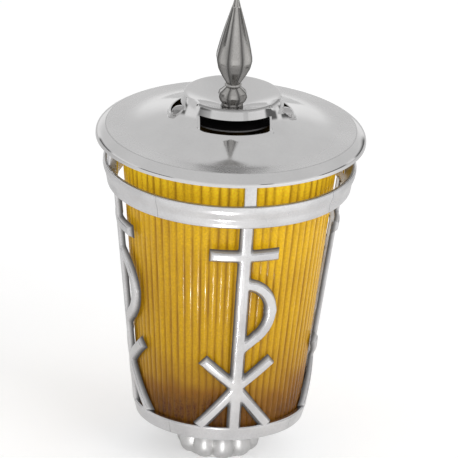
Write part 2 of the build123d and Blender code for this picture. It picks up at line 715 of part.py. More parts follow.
spear_middle = (SPEAR_WIDEST_HEIGHT + TIP_BEAD_HEIGHT) / 2
with BuildPart() as finial:
    with BuildSketch(Plane.XY.offset(DISH_HUB_HEIGHT)):
        Circle(DISH_HUB_RADIUS - MOULDED_CLEARANCE)
    extrude(amount=FINIAL_SEAT_HEIGHT)
    add(
        faceted(
            [
                (DISH_HUB_RADIUS, FINIAL_SEAT_HEIGHT),
                (BULB_RADIUS, BULB_HEIGHT),
                (NECK_RADIUS, NECK_HEIGHT - BEAD_HALF_HEIGHT),
                (NECK_RADIUS, NECK_HEIGHT + BEAD_HALF_HEIGHT),
                (SPEAR_RADIUS, SPEAR_WIDEST_HEIGHT),
                ((SPEAR_RADIUS + TIP_BEAD_RADIUS) / 2 + SPEAR_BULGE, spear_middle),
                (SPEAR_END_RADIUS, TIP_BEAD_HEIGHT),
            ]
        )
    )
    with BuildSketch(Plane.XZ):
        with BuildLine():
            neck = DISH_HUB_HEIGHT + NECK_HEIGHT
            edge = NECK_BEAD_RADIUS - BEAD_EDGE
            low = neck - BEAD_HALF_HEIGHT
            high = neck + BEAD_HALF_HEIGHT
            Polyline((edge, high), (0, high), (0, low), (edge, low))
            ThreePointArc((edge, low), (NECK_BEAD_RADIUS, neck), (edge, high))
        make_face()
    revolve(axis=Axis.Z)
    with BuildSketch(Plane.XZ):
        with BuildLine():
            bead = DISH_HUB_HEIGHT + TIP_BEAD_HEIGHT
            top = DISH_HUB_HEIGHT + FINIAL_HEIGHT
            edge = TIP_BEAD_RADIUS - BEAD_EDGE
            low = bead - BEAD_HALF_HEIGHT
            high = bead + BEAD_HALF_HEIGHT
            Polyline((edge, high), (TIP_RADIUS, top - TIP_RADIUS), (0, top), (0, low), (edge, low))
            ThreePointArc((edge, low), (TIP_BEAD_RADIUS, bead), (edge, high))
        make_face()
    revolve(axis=Axis.Z)
    with Locations(-Plane.XY.offset(DISH_HUB_HEIGHT)):
        Hole(STUD_RADIUS + THREAD_CLEARANCE, depth=STUD_IN_FINIAL + BORE_RELIEF)
save(finial.part, "finial")

shield_low = SHIELD_TOP - SHIELD_THICKNESS
nut_top = shield_low - WASHER_THICKNESS
stud_low = nut_top - NUT_HEIGHT - 1
stud_hole = STUD_RADIUS + HOLE_CLEARANCE

with BuildPart() as lid_stud:
    with BuildSketch(Plane.XY.offset(stud_low)):
        Circle(STUD_RADIUS)
    extrude(amount=DISH_HUB_HEIGHT + STUD_IN_FINIAL - stud_low)
save(lid_stud.part, "lid_stud")

ring("crown_washer", stud_hole, WASHER_RADIUS, PLATE_UNDERSIDE - WASHER_THICKNESS, PLATE_UNDERSIDE)
ring("shield_spacer", stud_hole, SPACER_RADIUS, SHIELD_TOP, PLATE_UNDERSIDE - WASHER_THICKNESS)
ring("heat_shield", stud_hole, SHIELD_RADIUS, shield_low, SHIELD_TOP)
ring("shield_washer", stud_hole, WASHER_RADIUS, nut_top, shield_low)

with BuildPart() as shield_nut:
    with BuildSketch(Plane.XY.offset(nut_top - NUT_HEIGHT)):
        RegularPolygon(NUT_ACROSS_FLATS / 2, 6, major_radius=False)
        Circle(STUD_RADIUS + THREAD_CLEARANCE, mode=Mode.SUBTRACT)
    extrude(amount=NUT_HEIGHT)
save(shield_nut.part, "shield_nut")


# ---- refill candle ----------------------------------------------------------------------------------

cup_inner = CUP_RADIUS - CUP_WALL
cup_floor_top = TRAY_FLOOR_TOP + CUP_FLOOR
punt_low = TRAY_FLOOR_TOP + PUNT_HEIGHT

with BuildPart() as candle_cup:
    with BuildSketch(Plane.XZ):
        with BuildLine():
            Polyline(
                (0, punt_low),
                (PUNT_RADIUS, punt_low),
                (PUNT_RADIUS, TRAY_FLOOR_TOP),
                (CUP_RADIUS, TRAY_FLOOR_TOP),
                (CUP_RADIUS, CUP_TOP),
                (cup_inner, CUP_TOP),
                (cup_inner, cup_floor_top),
                (PUNT_RADIUS + CUP_FLOOR, cup_floor_top),
                (PUNT_RADIUS + CUP_FLOOR, PUNT_TOP),
                (0, PUNT_TOP),
                close=True,
            )
        make_face()
    revolve(axis=Axis.Z)
save(candle_cup.part, "candle_cup")

with BuildPart() as candle_wax:
    with BuildSketch(Plane.XZ):
        with BuildLine():
            Polyline(
                (WICK_RADIUS + MOULDED_CLEARANCE, PUNT_TOP + SUSTAINER_THICKNESS),
                (SUSTAINER_RADIUS + MOULDED_CLEARANCE, PUNT_TOP + SUSTAINER_THICKNESS),
                (SUSTAINER_RADIUS + MOULDED_CLEARANCE, PUNT_TOP),
                (PUNT_RADIUS + CUP_FLOOR + MOULDED_CLEARANCE, PUNT_TOP),
                (PUNT_RADIUS + CUP_FLOOR + MOULDED_CLEARANCE, cup_floor_top),
                (cup_inner - MOULDED_CLEARANCE, cup_floor_top),
                (cup_inner - MOULDED_CLEARANCE, WAX_TOP),
                (WICK_RADIUS + MOULDED_CLEARANCE, WAX_TOP - 1),
                close=True,
            )
        make_face()
    revolve(axis=Axis.Z)
save(candle_wax.part, "candle_wax")

with BuildPart() as wick:
    with BuildSketch(Plane.XY.offset(PUNT_TOP + SUSTAINER_THICKNESS)):
        Circle(WICK_RADIUS)
    extrude(amount=WAX_TOP + WICK_ABOVE_WAX - PUNT_TOP - SUSTAINER_THICKNESS)
save(wick.part, "wick")

with BuildPart() as wick_sustainer:
    with BuildSketch(Plane.XY.offset(PUNT_TOP)):
        Circle(SUSTAINER_RADIUS)
    extrude(amount=SUSTAINER_THICKNESS)
save(wick_sustainer.part, "wick_sustainer")
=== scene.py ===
import bpy
import json
import math
import numpy as np
from mathutils import Matrix, Vector


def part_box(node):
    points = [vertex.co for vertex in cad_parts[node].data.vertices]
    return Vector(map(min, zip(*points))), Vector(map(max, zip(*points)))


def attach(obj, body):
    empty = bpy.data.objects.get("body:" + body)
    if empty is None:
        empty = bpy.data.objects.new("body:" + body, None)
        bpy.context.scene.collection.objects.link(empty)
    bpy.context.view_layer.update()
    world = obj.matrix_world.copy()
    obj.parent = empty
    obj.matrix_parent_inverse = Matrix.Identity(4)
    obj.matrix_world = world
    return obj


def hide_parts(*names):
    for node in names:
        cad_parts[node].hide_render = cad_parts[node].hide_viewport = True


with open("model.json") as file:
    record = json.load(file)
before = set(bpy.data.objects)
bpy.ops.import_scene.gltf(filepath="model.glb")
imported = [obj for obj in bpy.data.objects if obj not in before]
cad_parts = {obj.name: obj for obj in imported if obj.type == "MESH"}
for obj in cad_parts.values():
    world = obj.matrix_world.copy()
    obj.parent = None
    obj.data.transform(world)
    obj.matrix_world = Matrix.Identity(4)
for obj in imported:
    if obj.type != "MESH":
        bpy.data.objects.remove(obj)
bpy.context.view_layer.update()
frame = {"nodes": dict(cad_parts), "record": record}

MM = 0.001
SIDES = {"front": 0, "right": 90, "back": 180, "left": 270}
FRONT = -90.0
SMOOTH_ANGLE = 38.0

# ---- sizes in millimetres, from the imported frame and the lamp's own proportions ----------------------


def low(node):
    """Height of a CAD node's lowest point, in millimetres."""
    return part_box(node)[0].z / MM


def high(node):
    """Height of a CAD node's highest point, in millimetres."""
    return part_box(node)[1].z / MM


def radius_of(node):
    """Largest radius of a round CAD node on the axis, in millimetres."""
    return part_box(node)[1].x / MM


BASE_RING_LOW = low("frame_quarter_front")
PAN_LOW = low("base_pan")
POST_TOP = high("frame_quarter_front")
LID_RIM_LOW = low("lid_shell")
LID_TOP = high("lid_shell")
LID_RADIUS = radius_of("lid_shell")
SEAT_TOP = high("seat_ring")
SEAT_INNER_RADIUS = 56.5
GLASS_LOW = low("glass")
GLASS_TOP = high("glass")
GLASS_RADIUS_TOP = radius_of("upper_gasket")

BASE_RING_TOP = BASE_RING_LOW + 8.7
MAIN_RING_LOW = BASE_RING_TOP + 126.3
MAIN_RING_TOP = MAIN_RING_LOW + 14.1
FRAME_RADIUS_LOW = 48.8
FRAME_RADIUS_HIGH = 64.65
FRAME_SLOPE = (FRAME_RADIUS_HIGH - FRAME_RADIUS_LOW) / (MAIN_RING_LOW - BASE_RING_TOP)
MONOGRAM_DEPTH = 3.2
BASE_RING_WALL = 3.4
MAIN_LIP_RADIUS = FRAME_RADIUS_HIGH + 5.65
MAIN_LIP_WALL = 2.2
LID_TURN = -6.3


def frame_radius(height):
    """Outer radius of the frame's cone at this height."""
    return FRAME_RADIUS_LOW + FRAME_SLOPE * (height - BASE_RING_TOP)


# ---- mesh helpers -----------------------------------------------------------------------------------


def make_object(name, points, faces, material, smooth_angle=SMOOTH_ANGLE):
    """A mesh object from points in millimetres."""
    mesh = bpy.data.meshes.new(name)
    mesh.from_pydata([tuple(p) for p in np.asarray(points, float) * MM], [], faces)
    mesh.validate()
    mesh.update()
    mesh.shade_smooth()
    mesh.set_sharp_from_angle(angle=math.radians(smooth_angle))
    piece = bpy.data.objects.new(name, mesh)
    bpy.context.scene.collection.objects.link(piece)
    mesh.materials.append(material)
    return piece


def mark_soot_and_shade(piece, soot_and_shade):
    """Give every point of a piece how sooty it is, or how much painted shade it carries along edges and
    creases, which the materials read.
    """
    mark = piece.data.attributes.new("soot_and_shade", "FLOAT", "POINT")
    mark.data.foreach_set("value", np.asarray(soot_and_shade, np.float32))


def round_corners(outline, steps=6):
    """Points of a closed outline given as (x, y, corner radius), each corner an arc."""
    count = len(outline)
    points = []
    for i in range(count):
        x, y, radius = outline[i]
        here = Vector((x, y))
        before = Vector(outline[i - 1][:2]) - here
        after = Vector(outline[(i + 1) % count][:2]) - here
        if radius <= 0:
            points.append(here)
            continue
        half_angle = before.angle(after) / 2
        reach = min(radius / math.tan(half_angle), 0.48 * before.length, 0.48 * after.length)
        radius = reach * math.tan(half_angle)
        if half_angle > math.radians(88):
            points.append(here)
            continue
        start = here + before.normalized() * reach
        end = here + after.normalized() * reach
        inward = (before.normalized() + after.normalized()).normalized()
        centre = here + inward * (radius / math.sin(half_angle))
        a = start - centre
        b = end - centre
        turn = a.angle(b)
        for k in range(steps + 1):
            t = k / steps
            points.append(centre + (a * math.sin((1 - t) * turn) + b * math.sin(t * turn)) / math.sin(turn))
    return [(p.x, p.y) for p in points]


def lathe(profile, start=0.0, arc=360.0, segments=256):
    """Points and faces of a closed profile in (radius, height), turned about the axis."""
    whole = arc >= 360.0
    columns = segments if whole else segments + 1
    rows = len(profile)
    points = []
    for c in range(columns):
        angle = math.radians(start + arc * c / segments)
        points += [(r * math.cos(angle), r * math.sin(angle), z) for r, z in profile]
    faces = []
    for c in range(segments):
        c_next = (c + 1) % columns
        for r in range(rows):
            r_next = (r + 1) % rows
            faces.append((c * rows + r, c_next * rows + r, c_next * rows + r_next, c * rows + r_next))
    if not whole:
        faces.append(tuple(range(rows)))
        faces.append(tuple(segments * rows + r for r in reversed(range(rows))))
    return points, faces


def band_faces(rows, columns, closed):
    """Faces between successive rows of a piece that runs right round, back to the first row if closed."""
    count = len(rows)
    faces = []
    for r in range(count if closed else count - 1):
        low_row, high_row = r * columns, (r + 1) % count * columns
        for c in range(columns):
            c_next = (c + 1) % columns
            faces.append((low_row + c, low_row + c_next, high_row + c_next, high_row + c))
    return faces


def soften_edges(piece, width, segments, angle):
    """Round a piece's edges sharper than this angle, by this width in millimetres."""
    bevel = piece.modifiers.new("soft_edges", "BEVEL")
    bevel.width = width * MM
    bevel.segments = segments
    bevel.limit_method = "ANGLE"
    bevel.angle_limit = math.radians(angle)
    bevel.use_clamp_overlap = True


def join(parts):
    """One list of points and faces from several."""
    points = []
    faces = []
    for some_points, some_faces in parts:
        shift = len(points)
        points += [tuple(p) for p in some_points]
        faces += [tuple(i + shift for i in face) for face in some_faces]
    return points, faces


def turned(points, degrees):
    """Points turned about the axis."""
    angle = math.radians(degrees)
    points = np.asarray(points, float)
    x = points[:, 0] * math.cos(angle) - points[:, 1] * math.sin(angle)
    y = points[:, 0] * math.sin(angle) + points[:, 1] * math.cos(angle)
    return np.column_stack([x, y, points[:, 2]])


# ---- materials --------------------------------------------------------------------------------------


class Nodes:
    """A short way to build a material's node tree."""

    def __init__(self, name):
        self.material = bpy.data.materials.new(name)
        self.material.use_nodes = True
        self.tree = self.material.node_tree
        self.tree.nodes.clear()
        self.output = self.tree.nodes.new("ShaderNodeOutputMaterial")
        self.shader = self.tree.nodes.new("ShaderNodeBsdfPrincipled")
        self.link(self.shader.outputs["BSDF"], self.output.inputs["Surface"])
        self.place = self.tree.nodes.new("ShaderNodeTexCoord").outputs["Object"]

    def link(self, source, target):
        self.tree.links.new(source, target)

    def set(self, **values):
        for name, value in values.items():
            self.shader.inputs[name.replace("_", " ")].default_value = value

    def feed(self, socket, source):
        self.link(source, self.shader.inputs[socket])

    def noise(self, scale, detail=3.0, roughness=0.5, place=None):
        node = self.tree.nodes.new("ShaderNodeTexNoise")
        node.inputs["Scale"].default_value = scale
        node.inputs["Detail"].default_value = detail
        node.inputs["Roughness"].default_value = roughness
        self.link(place or self.place, node.inputs["Vector"])
        return node.outputs["Fac"]

    def stretched(self, x, y, z):
        node = self.tree.nodes.new("ShaderNodeMapping")
        node.inputs["Scale"].default_value = (x, y, z)
        self.link(self.place, node.inputs["Vector"])
        return node.outputs["Vector"]

    def math(self, operation, a, b=0.0):
        node = self.tree.nodes.new("ShaderNodeMath")
        node.operation = operation
        for socket, value in zip(node.inputs, (a, b)):
            if isinstance(value, (int, float)):
                socket.default_value = value
            else:
                self.link(value, socket)
        return node.outputs["Value"]

    def remap(self, value, low_in, high_in, low_out, high_out):
        node = self.tree.nodes.new("ShaderNodeMapRange")
        node.inputs["From Min"].default_value = low_in
        node.inputs["From Max"].default_value = high_in
        node.inputs["To Min"].default_value = low_out
        node.inputs["To Max"].default_value = high_out
        self.link(value, node.inputs["Value"])
        return node.outputs["Result"]

    def ramp(self, value, stops):
        node = self.tree.nodes.new("ShaderNodeValToRGB")
        ramp = node.color_ramp
        while len(ramp.elements) < len(stops):
            ramp.elements.new(0.5)
        for element, (place, colour) in zip(ramp.elements, stops):
            element.position = place
            element.color = (*colour, 1)
        self.link(value, node.inputs["Fac"])
        return node.outputs["Color"]

    def mix(self, factor, a, b):
        node = self.tree.nodes.new("ShaderNodeMix")
        node.data_type = "RGBA"
        for socket, value in ((node.inputs[0], factor), (node.inputs[6], a), (node.inputs[7], b)):
            if isinstance(value, (int, float)):
                socket.default_value = value
            elif isinstance(value, tuple):
                socket.default_value = (*value, 1)
            else:
                self.link(value, socket)
        return node.outputs[2]

    def bump(self, height, strength, distance):
        node = self.tree.nodes.new("ShaderNodeBump")
        node.inputs["Strength"].default_value = strength
        node.inputs["Distance"].default_value = distance
        self.link(height, node.inputs["Height"])
        self.link(node.outputs["Normal"], self.shader.inputs["Normal"])

    def parts_of_place(self):
        node = self.tree.nodes.new("ShaderNodeSeparateXYZ")
        self.link(self.place, node.inputs["Vector"])
        return node.outputs["X"], node.outputs["Y"], node.outputs["Z"]

    def from_axis(self):
        x, y = self.parts_of_place()[:2]
        return self.math("SQRT", self.math("ADD", self.math("MULTIPLY", x, x), self.math("MULTIPLY", y, y)))


# Soot and painted shade share this colour and the extra roughness.
SOOT_AND_SHADE_COLOUR = (0.006, 0.005, 0.005)
SOOT_AND_SHADE_ROUGHNESS = 0.55
SOOT_FROM_HEIGHT = (0.188, 0.190)
SHIELD_EDGE = (0.0247, 0.0249)
SATIN_ROUGHNESS = 0.20
GLASS_RIBS = 72


def metal(name, colour, dark, roughness, spread, grain, grain_height, soot_and_shade=None, satin=None):
    """Polished metal: slight mottling, worn roughness and a fine cast or brushed grain, sooty or darkened
    by painted shade if wanted.
    """
    m = Nodes(name)
    m.set(Metallic=1.0)
    cloudy = m.noise(45, 4)
    fine = m.noise(grain, 3)
    shade = m.mix(m.remap(cloudy, 0.35, 0.7, 0, 0.5), colour, dark)
    speckled = m.mix(m.remap(m.noise(1100, 2), 0.35, 0.65, 0, 0.22), shade, dark)
    rough = m.remap(m.noise(120, 5), 0.3, 0.7, roughness, roughness + spread)
    if satin:
        out = m.from_axis()
        brushed = m.math("MULTIPLY", m.remap(out, *satin[:2], 0, 1), m.remap(out, *satin[2:], 1, 0))
        rough = m.math("ADD", rough, m.math("MULTIPLY", brushed, SATIN_ROUGHNESS))
    if soot_and_shade:
        cover = soot_and_shade(m)
        speckled = m.mix(cover, speckled, SOOT_AND_SHADE_COLOUR)
        rough = m.math("ADD", rough, m.math("MULTIPLY", cover, SOOT_AND_SHADE_ROUGHNESS))
        m.feed("Metallic", m.math("SUBTRACT", 1.0, cover))
        m.feed("Specular IOR Level", m.math("SUBTRACT", 0.5, m.math("MULTIPLY", cover, 0.42)))
    m.feed("Base Color", speckled)
    m.feed("Roughness", rough)
    m.bump(fine, 0.25, grain_height)
    return m.material


def soot_and_shade_on_marked_points(m):
    """Soot, or painted shade along edges and creases, where the mesh's own mark says so."""
    mark = m.tree.nodes.new("ShaderNodeAttribute")
    mark.attribute_name = "soot_and_shade"
    return m.math("MULTIPLY", mark.outputs["Fac"], m.remap(m.noise(60, 3), 0.3, 0.6, 0.96, 1.0))


def soot_under_the_top(m):
    """Soot on the heat shield and what is round it, but not on the shield's outer edge."""
    high_up = m.remap(m.parts_of_place()[2], *SOOT_FROM_HEIGHT, 0, 1)
    return m.math("MULTIPLY", high_up, m.remap(m.from_axis(), *SHIELD_EDGE, 1.0, 0.55))


def plain(name, colour, dark, roughness, grain, grain_height, subsurface=0.0):
    """Rubber, wax, cotton or plastic: mottled colour and a fine surface."""
    m = Nodes(name)
    m.set(Subsurface_Weight=subsurface)
    m.feed("Base Color", m.mix(m.remap(m.noise(grain / 6, 4), 0.35, 0.7, 0, 0.5), colour, dark))
    m.feed("Roughness", m.remap(m.noise(grain / 3, 3), 0.3, 0.7, roughness, roughness + 0.15))
    m.bump(m.noise(grain, 3), 0.3, grain_height)
    return m.material


def amber_glass():
    """Opaque amber with a faint painted glow standing in for light through the glass: golden ribs, brown
    lines of painted shade between them, painted shade darker towards the foot and painted light brighter at
    the top.
    """
    m = Nodes("amber_glass")
    x, y, z = m.parts_of_place()
    around = m.math("MULTIPLY", m.math("ARCTAN2", y, x), GLASS_RIBS / (2 * math.pi))
    phase = m.math("ABSOLUTE", m.math("SUBTRACT", m.math("FRACT", around), 0.5))
    level = m.remap(z, GLASS_LOW * MM, GLASS_TOP * MM, 0, 1)
    streaks = m.noise(1.0, 4, 0.6, m.stretched(260, 260, 9))
    uneven = m.math("ADD", level, m.remap(m.noise(24, 3), 0.3, 0.7, -0.05, 0.05))
    smoky = m.remap(m.noise(14, 4), 0.42, 0.70, 0, 0.35)
    # Painted shade and light: the amber darkens to brown towards the foot and brightens towards the top,
    # under the lid.
    body = m.ramp(
        uneven,
        [
            (0.0, (0.040, 0.010, 0.005)),
            (0.06, (0.075, 0.022, 0.007)),
            (0.12, (0.230, 0.095, 0.011)),
            (0.18, (0.430, 0.225, 0.013)),
            (0.30, (0.590, 0.335, 0.010)),
            (0.55, (0.620, 0.360, 0.010)),
            (0.82, (0.780, 0.480, 0.012)),
            (1.0, (0.980, 0.660, 0.030)),
        ],
    )
    mottled = m.mix(m.remap(streaks, 0.45, 0.75, 0, 0.40), body, (0.36, 0.17, 0.010))
    # Painted shade: brown lines in the valleys between the ribs.
    line = m.math("MULTIPLY", m.remap(phase, 0.22, 0.5, 0, 0.75), m.remap(streaks, 0.3, 0.6, 0.35, 1.0))
    speckled = m.mix(m.remap(m.noise(900, 2), 0.35, 0.65, 0, 0.30), mottled, (0.30, 0.13, 0.012))
    lined = m.mix(line, m.mix(smoky, speckled, (0.26, 0.11, 0.012)), (0.200, 0.085, 0.010))
    smoked = m.math("MULTIPLY", soot_and_shade_on_marked_points(m), m.remap(level, 0.55, 0.85, 0, 1))
    unsmoked = m.math("SUBTRACT", 1.0, smoked)
    m.feed("Base Color", m.mix(smoked, lined, SOOT_AND_SHADE_COLOUR))
    m.feed("Roughness", m.remap(m.noise(300, 3), 0.3, 0.7, 0.10, 0.22))
    m.set(Transmission_Weight=0.0, IOR=1.52, Specular_IOR_Level=0.16)
    # Painted light: a glow in the glass's own colour, stronger towards the top, standing in for light
    # coming through it.
    m.feed("Emission Color", lined)
    m.feed("Emission Strength", m.math("MULTIPLY", m.remap(level, 0.1, 0.9, 0.10, 0.40), unsmoked))
    m.bump(m.noise(1.0, 3, 0.5, m.stretched(900, 900, 120)), 0.25, 0.0004)
    return m.material


FRAME_METAL = metal(
    "frame_metal", (0.72, 0.715, 0.72), (0.42, 0.415, 0.42), 0.16, 0.12, 700, 0.00012, soot_and_shade_on_marked_points
)
FOOT_METAL = metal("foot_metal", (0.70, 0.695, 0.69), (0.52, 0.515, 0.51), 0.38, 0.12, 600, 0.0002)
LID_METAL = metal(
    "lid_metal",
    (0.66, 0.655, 0.655),
    (0.56, 0.555, 0.555),
    0.05,
    0.05,
    900,
    0.00002,
    soot_and_shade_on_marked_points,
    (0.0500, 0.0600, 0.0690, 0.0697),
)
FINIAL_METAL = metal(
    "finial_metal", (0.46, 0.45, 0.435), (0.26, 0.25, 0.24), 0.10, 0.08, 800, 0.00005, soot_and_shade_on_marked_points
)
SHEET_STEEL = metal(
    "sheet_steel", (0.55, 0.55, 0.56), (0.36, 0.36, 0.37), 0.28, 0.16, 1500, 0.00006, soot_under_the_top
)
SCREW_STEEL = metal(
    "screw_steel", (0.62, 0.62, 0.60), (0.40, 0.40, 0.38), 0.25, 0.15, 1800, 0.00005, soot_under_the_top
)
BRASS = metal("brass", (0.78, 0.58, 0.26), (0.45, 0.32, 0.12), 0.22, 0.15, 1500, 0.00005)
GASKET = plain("gasket", (0.035, 0.034, 0.033), (0.015, 0.015, 0.015), 0.6, 2500, 0.00008)
CUP = plain("candle_cup", (0.86, 0.83, 0.77), (0.74, 0.70, 0.62), 0.35, 900, 0.00005, subsurface=0.2)
WAX = plain("wax", (0.90, 0.87, 0.78), (0.80, 0.74, 0.62), 0.40, 700, 0.00012, subsurface=0.3)
WICK = plain("wick", (0.80, 0.76, 0.68), (0.30, 0.27, 0.22), 0.85, 3500, 0.0003)
AMBER = amber_glass()

CAD_MATERIALS = {
    "sheet_steel": SHEET_STEEL,
    "screw_steel": SCREW_STEEL,
    "brass": BRASS,
    "gasket": GASKET,
    "candle_cup": CUP,
    "wax": WAX,
    "wick": WICK,
    "frame_metal": FRAME_METAL,
    "lid_metal": LID_METAL,
    "finial_metal": FINIAL_METAL,
    "amber_glass": AMBER,
}


def dress_cad_nodes():
    """Every CAD node takes the material of its slot in the record."""
    for subpart in frame["record"]["subparts"]:
        piece = frame["nodes"][subpart["node"]]
        piece.data.materials.clear()
        piece.data.materials.append(CAD_MATERIALS[subpart["material_slot"]])


# ---- frame castings ---------------------------------------------------------------------------------

STEM_HALF = 4.2
CROSSBAR_HALF = 3.9
BOWL_HALF = 3.8
SALTIRE_HALF = 3.6
CROSSBAR_REACH = 20.6
CROSSBAR_DROP = 19.4
BOWL_REACH = 17.6
BOWL_DROP = 37.0
BOWL_LOWER_RADIUS = 20.0
BOWL_LOWER_TURN = math.radians(50.0)
SALTIRE_REACH = 20.4
SALTIRE_DROP = 102.1
SALTIRE_ARM_UP = 16.8
BAR_BEVEL = 1.75
BAR_CROWN = 0.12
# Painted shade: how dark the bars' bevelled sides get, next to the glass.
BAR_EDGE_SHADE = 0.85
# Painted shade: how dark the main ring lip's inner top edge gets, under the lid.
LIP_EDGE_SHADE = 0.5
GRID = 0.4


def box_distance(x, z, start, end, half):
    """Signed distance from points to a bar with square ends between two points."""
    a = np.array(start, float)
    b = np.array(end, float)
    along = (b - a) / np.linalg.norm(b - a)
    centre = (a + b) / 2
    dx = x - centre[0]
    dz = z - centre[1]
    u = np.abs(dx * along[0] + dz * along[1]) - np.linalg.norm(b - a) / 2
    v = np.abs(-dx * along[1] + dz * along[0]) - half
    outside = np.hypot(np.maximum(u, 0), np.maximum(v, 0))
    return outside + np.minimum(np.maximum(u, v), 0)


def arc_distance(x, z, centre, radius, start, end, half):
    """Signed distance to a curved bar: an arc from start to end, both angles in radians."""
    dx = x - centre[0]
    dz = z - centre[1]
    middle = (start + end) / 2
    spread = abs(end - start) / 2
    angle = (np.arctan2(dz, dx) - middle + math.pi) % (2 * math.pi) - math.pi
    on_arc = np.abs(np.hypot(dx, dz) - radius)
    ends = [(centre[0] + radius * math.cos(a), centre[1] + radius * math.sin(a)) for a in (start, end)]
    to_end = np.minimum(*[np.hypot(x - e[0], z - e[1]) for e in ends])
    return np.where(np.abs(angle) <= spread, on_arc, to_end) - half


def smooth_min(a, b, reach):
    """The lesser of two distances, rounded where they meet."""
    share = np.clip(0.5 + 0.5 * (b - a) / reach, 0, 1)
    return b * (1 - share) + a * share - reach * share * (1 - share)


def monogram_distance(x, z):
    """Signed distance to the outline of the monogram in the front plane; below zero is metal."""
    bowl_top = MAIN_RING_LOW - BOWL_DROP
    bowl_side = bowl_top - BOWL_REACH
    turn = BOWL_LOWER_TURN
    lower_centre = (BOWL_REACH - BOWL_LOWER_RADIUS, bowl_side)
    lower_end = (
        lower_centre[0] + BOWL_LOWER_RADIUS * math.cos(turn),
        lower_centre[1] - BOWL_LOWER_RADIUS * math.sin(turn),
    )
    run = lower_end[0] / math.sin(turn)
    bowl_foot = (0, lower_end[1] - run * math.cos(turn))
    cross = MAIN_RING_LOW - CROSSBAR_DROP
    saltire = MAIN_RING_LOW - SALTIRE_DROP
    down = saltire - BASE_RING_TOP + 1.5
    parts = [
        box_distance(x, z, (0, BASE_RING_TOP - 3), (0, MAIN_RING_LOW + 3), STEM_HALF),
        box_distance(x, z, (-CROSSBAR_REACH, cross), (CROSSBAR_REACH, cross), CROSSBAR_HALF),
        arc_distance(x, z, (0, bowl_side), BOWL_REACH, 0, math.pi / 2, BOWL_HALF),
        arc_distance(x, z, lower_centre, BOWL_LOWER_RADIUS, -turn, 0, BOWL_HALF),
        box_distance(x, z, lower_end, bowl_foot, BOWL_HALF),
    ]
    for side in (-1, 1):
        parts.append(
            box_distance(x, z, (0, saltire), (side * SALTIRE_REACH, saltire + SALTIRE_ARM_UP), SALTIRE_HALF)
        )
        parts.append(box_distance(x, z, (0, saltire), (side * SALTIRE_REACH, saltire - down), SALTIRE_HALF))
    total = parts[0]
    for part in parts[1:]:
        total = smooth_min(total, part, 1.2)
    return total


def bar_height(distance):
    """How far the metal stands over its back face: bevelled sides, soft edge, slightly crowned face."""
    rise = np.clip(-distance / BAR_BEVEL, 0, 3)
    soft = smooth_min(rise, np.ones_like(rise), 0.35)
    soft = soft / smooth_min(np.array([3.0]), np.array([1.0]), 0.35)[0]
    crown = BAR_CROWN * np.clip((-distance - BAR_BEVEL) / 2.5, 0, 1)
    return np.clip(soft, 0, 1) * (MONOGRAM_DEPTH - BAR_CROWN) + crown


def monogram_mesh():
    """The openwork as a closed mesh on the cone, at the front."""
    xs = np.arange(-25.2, 25.21, GRID)
    zs = np.arange(BASE_RING_TOP - 1.2, MAIN_RING_LOW + 2.0, GRID)
    x, z = np.meshgrid(xs, zs)
    d = monogram_distance(x, z)
    keep_cell = np.minimum.reduce([d[:-1, :-1], d[1:, :-1], d[:-1, 1:], d[1:, 1:]]) < -0.02
    step = 0.02
    for _ in range(3):
        here = monogram_distance(x, z)
        gx = (monogram_distance(x + step, z) - monogram_distance(x - step, z)) / (2 * step)
        gz = (monogram_distance(x, z + step) - monogram_distance(x, z - step)) / (2 * step)
        size = np.maximum(gx * gx + gz * gz, 0.2)
        outside = here > 0
        x = np.where(outside, x - here * gx / size, x)
        z = np.where(outside, z - here * gz / size, z)
    height = bar_height(np.minimum(monogram_distance(x, z), 0))
    back = frame_radius(z) - MONOGRAM_DEPTH
    # Painted shade along the bars' bevelled sides, where they stand off the glass.
    mark = BAR_EDGE_SHADE * np.clip(1.3 - 1.6 * height / MONOGRAM_DEPTH, 0, 1)
    points = []
    for radius in (back + height, back - 0.02):
        angle = np.arcsin(np.clip(x / frame_radius(z), -1, 1))
        points.append(np.stack([radius * np.sin(angle), -radius * np.cos(angle), z], -1))
    used = {}
    out = []
    soot_and_shade = []

    def index(layer, r, c):
        key = (layer, r, c)
        if key not in used:
            used[key] = len(out)
            out.append(points[layer][r, c])
            soot_and_shade.append(mark[r, c])
        return used[key]

    faces = []
    kept = set(zip(*np.nonzero(keep_cell)))
    for r, c in sorted(kept):
        corners = ((r, c), (r, c + 1), (r + 1, c + 1), (r + 1, c))
        faces.append(tuple(index(0, *k) for k in corners))
        faces.append(tuple(index(1, *k) for k in reversed(corners)))
        for (a, b), (dr, dc) in zip(
            ((0, 1), (1, 2), (2, 3), (3, 0)),
            ((-1, 0), (0, 1), (1, 0), (0, -1)),
        ):
            if (r + dr, c + dc) not in kept:
                p, q = corners[a], corners[b]
                faces.append((index(0, *q), index(0, *p), index(1, *p), index(1, *q)))
    return out, faces, soot_and_shade


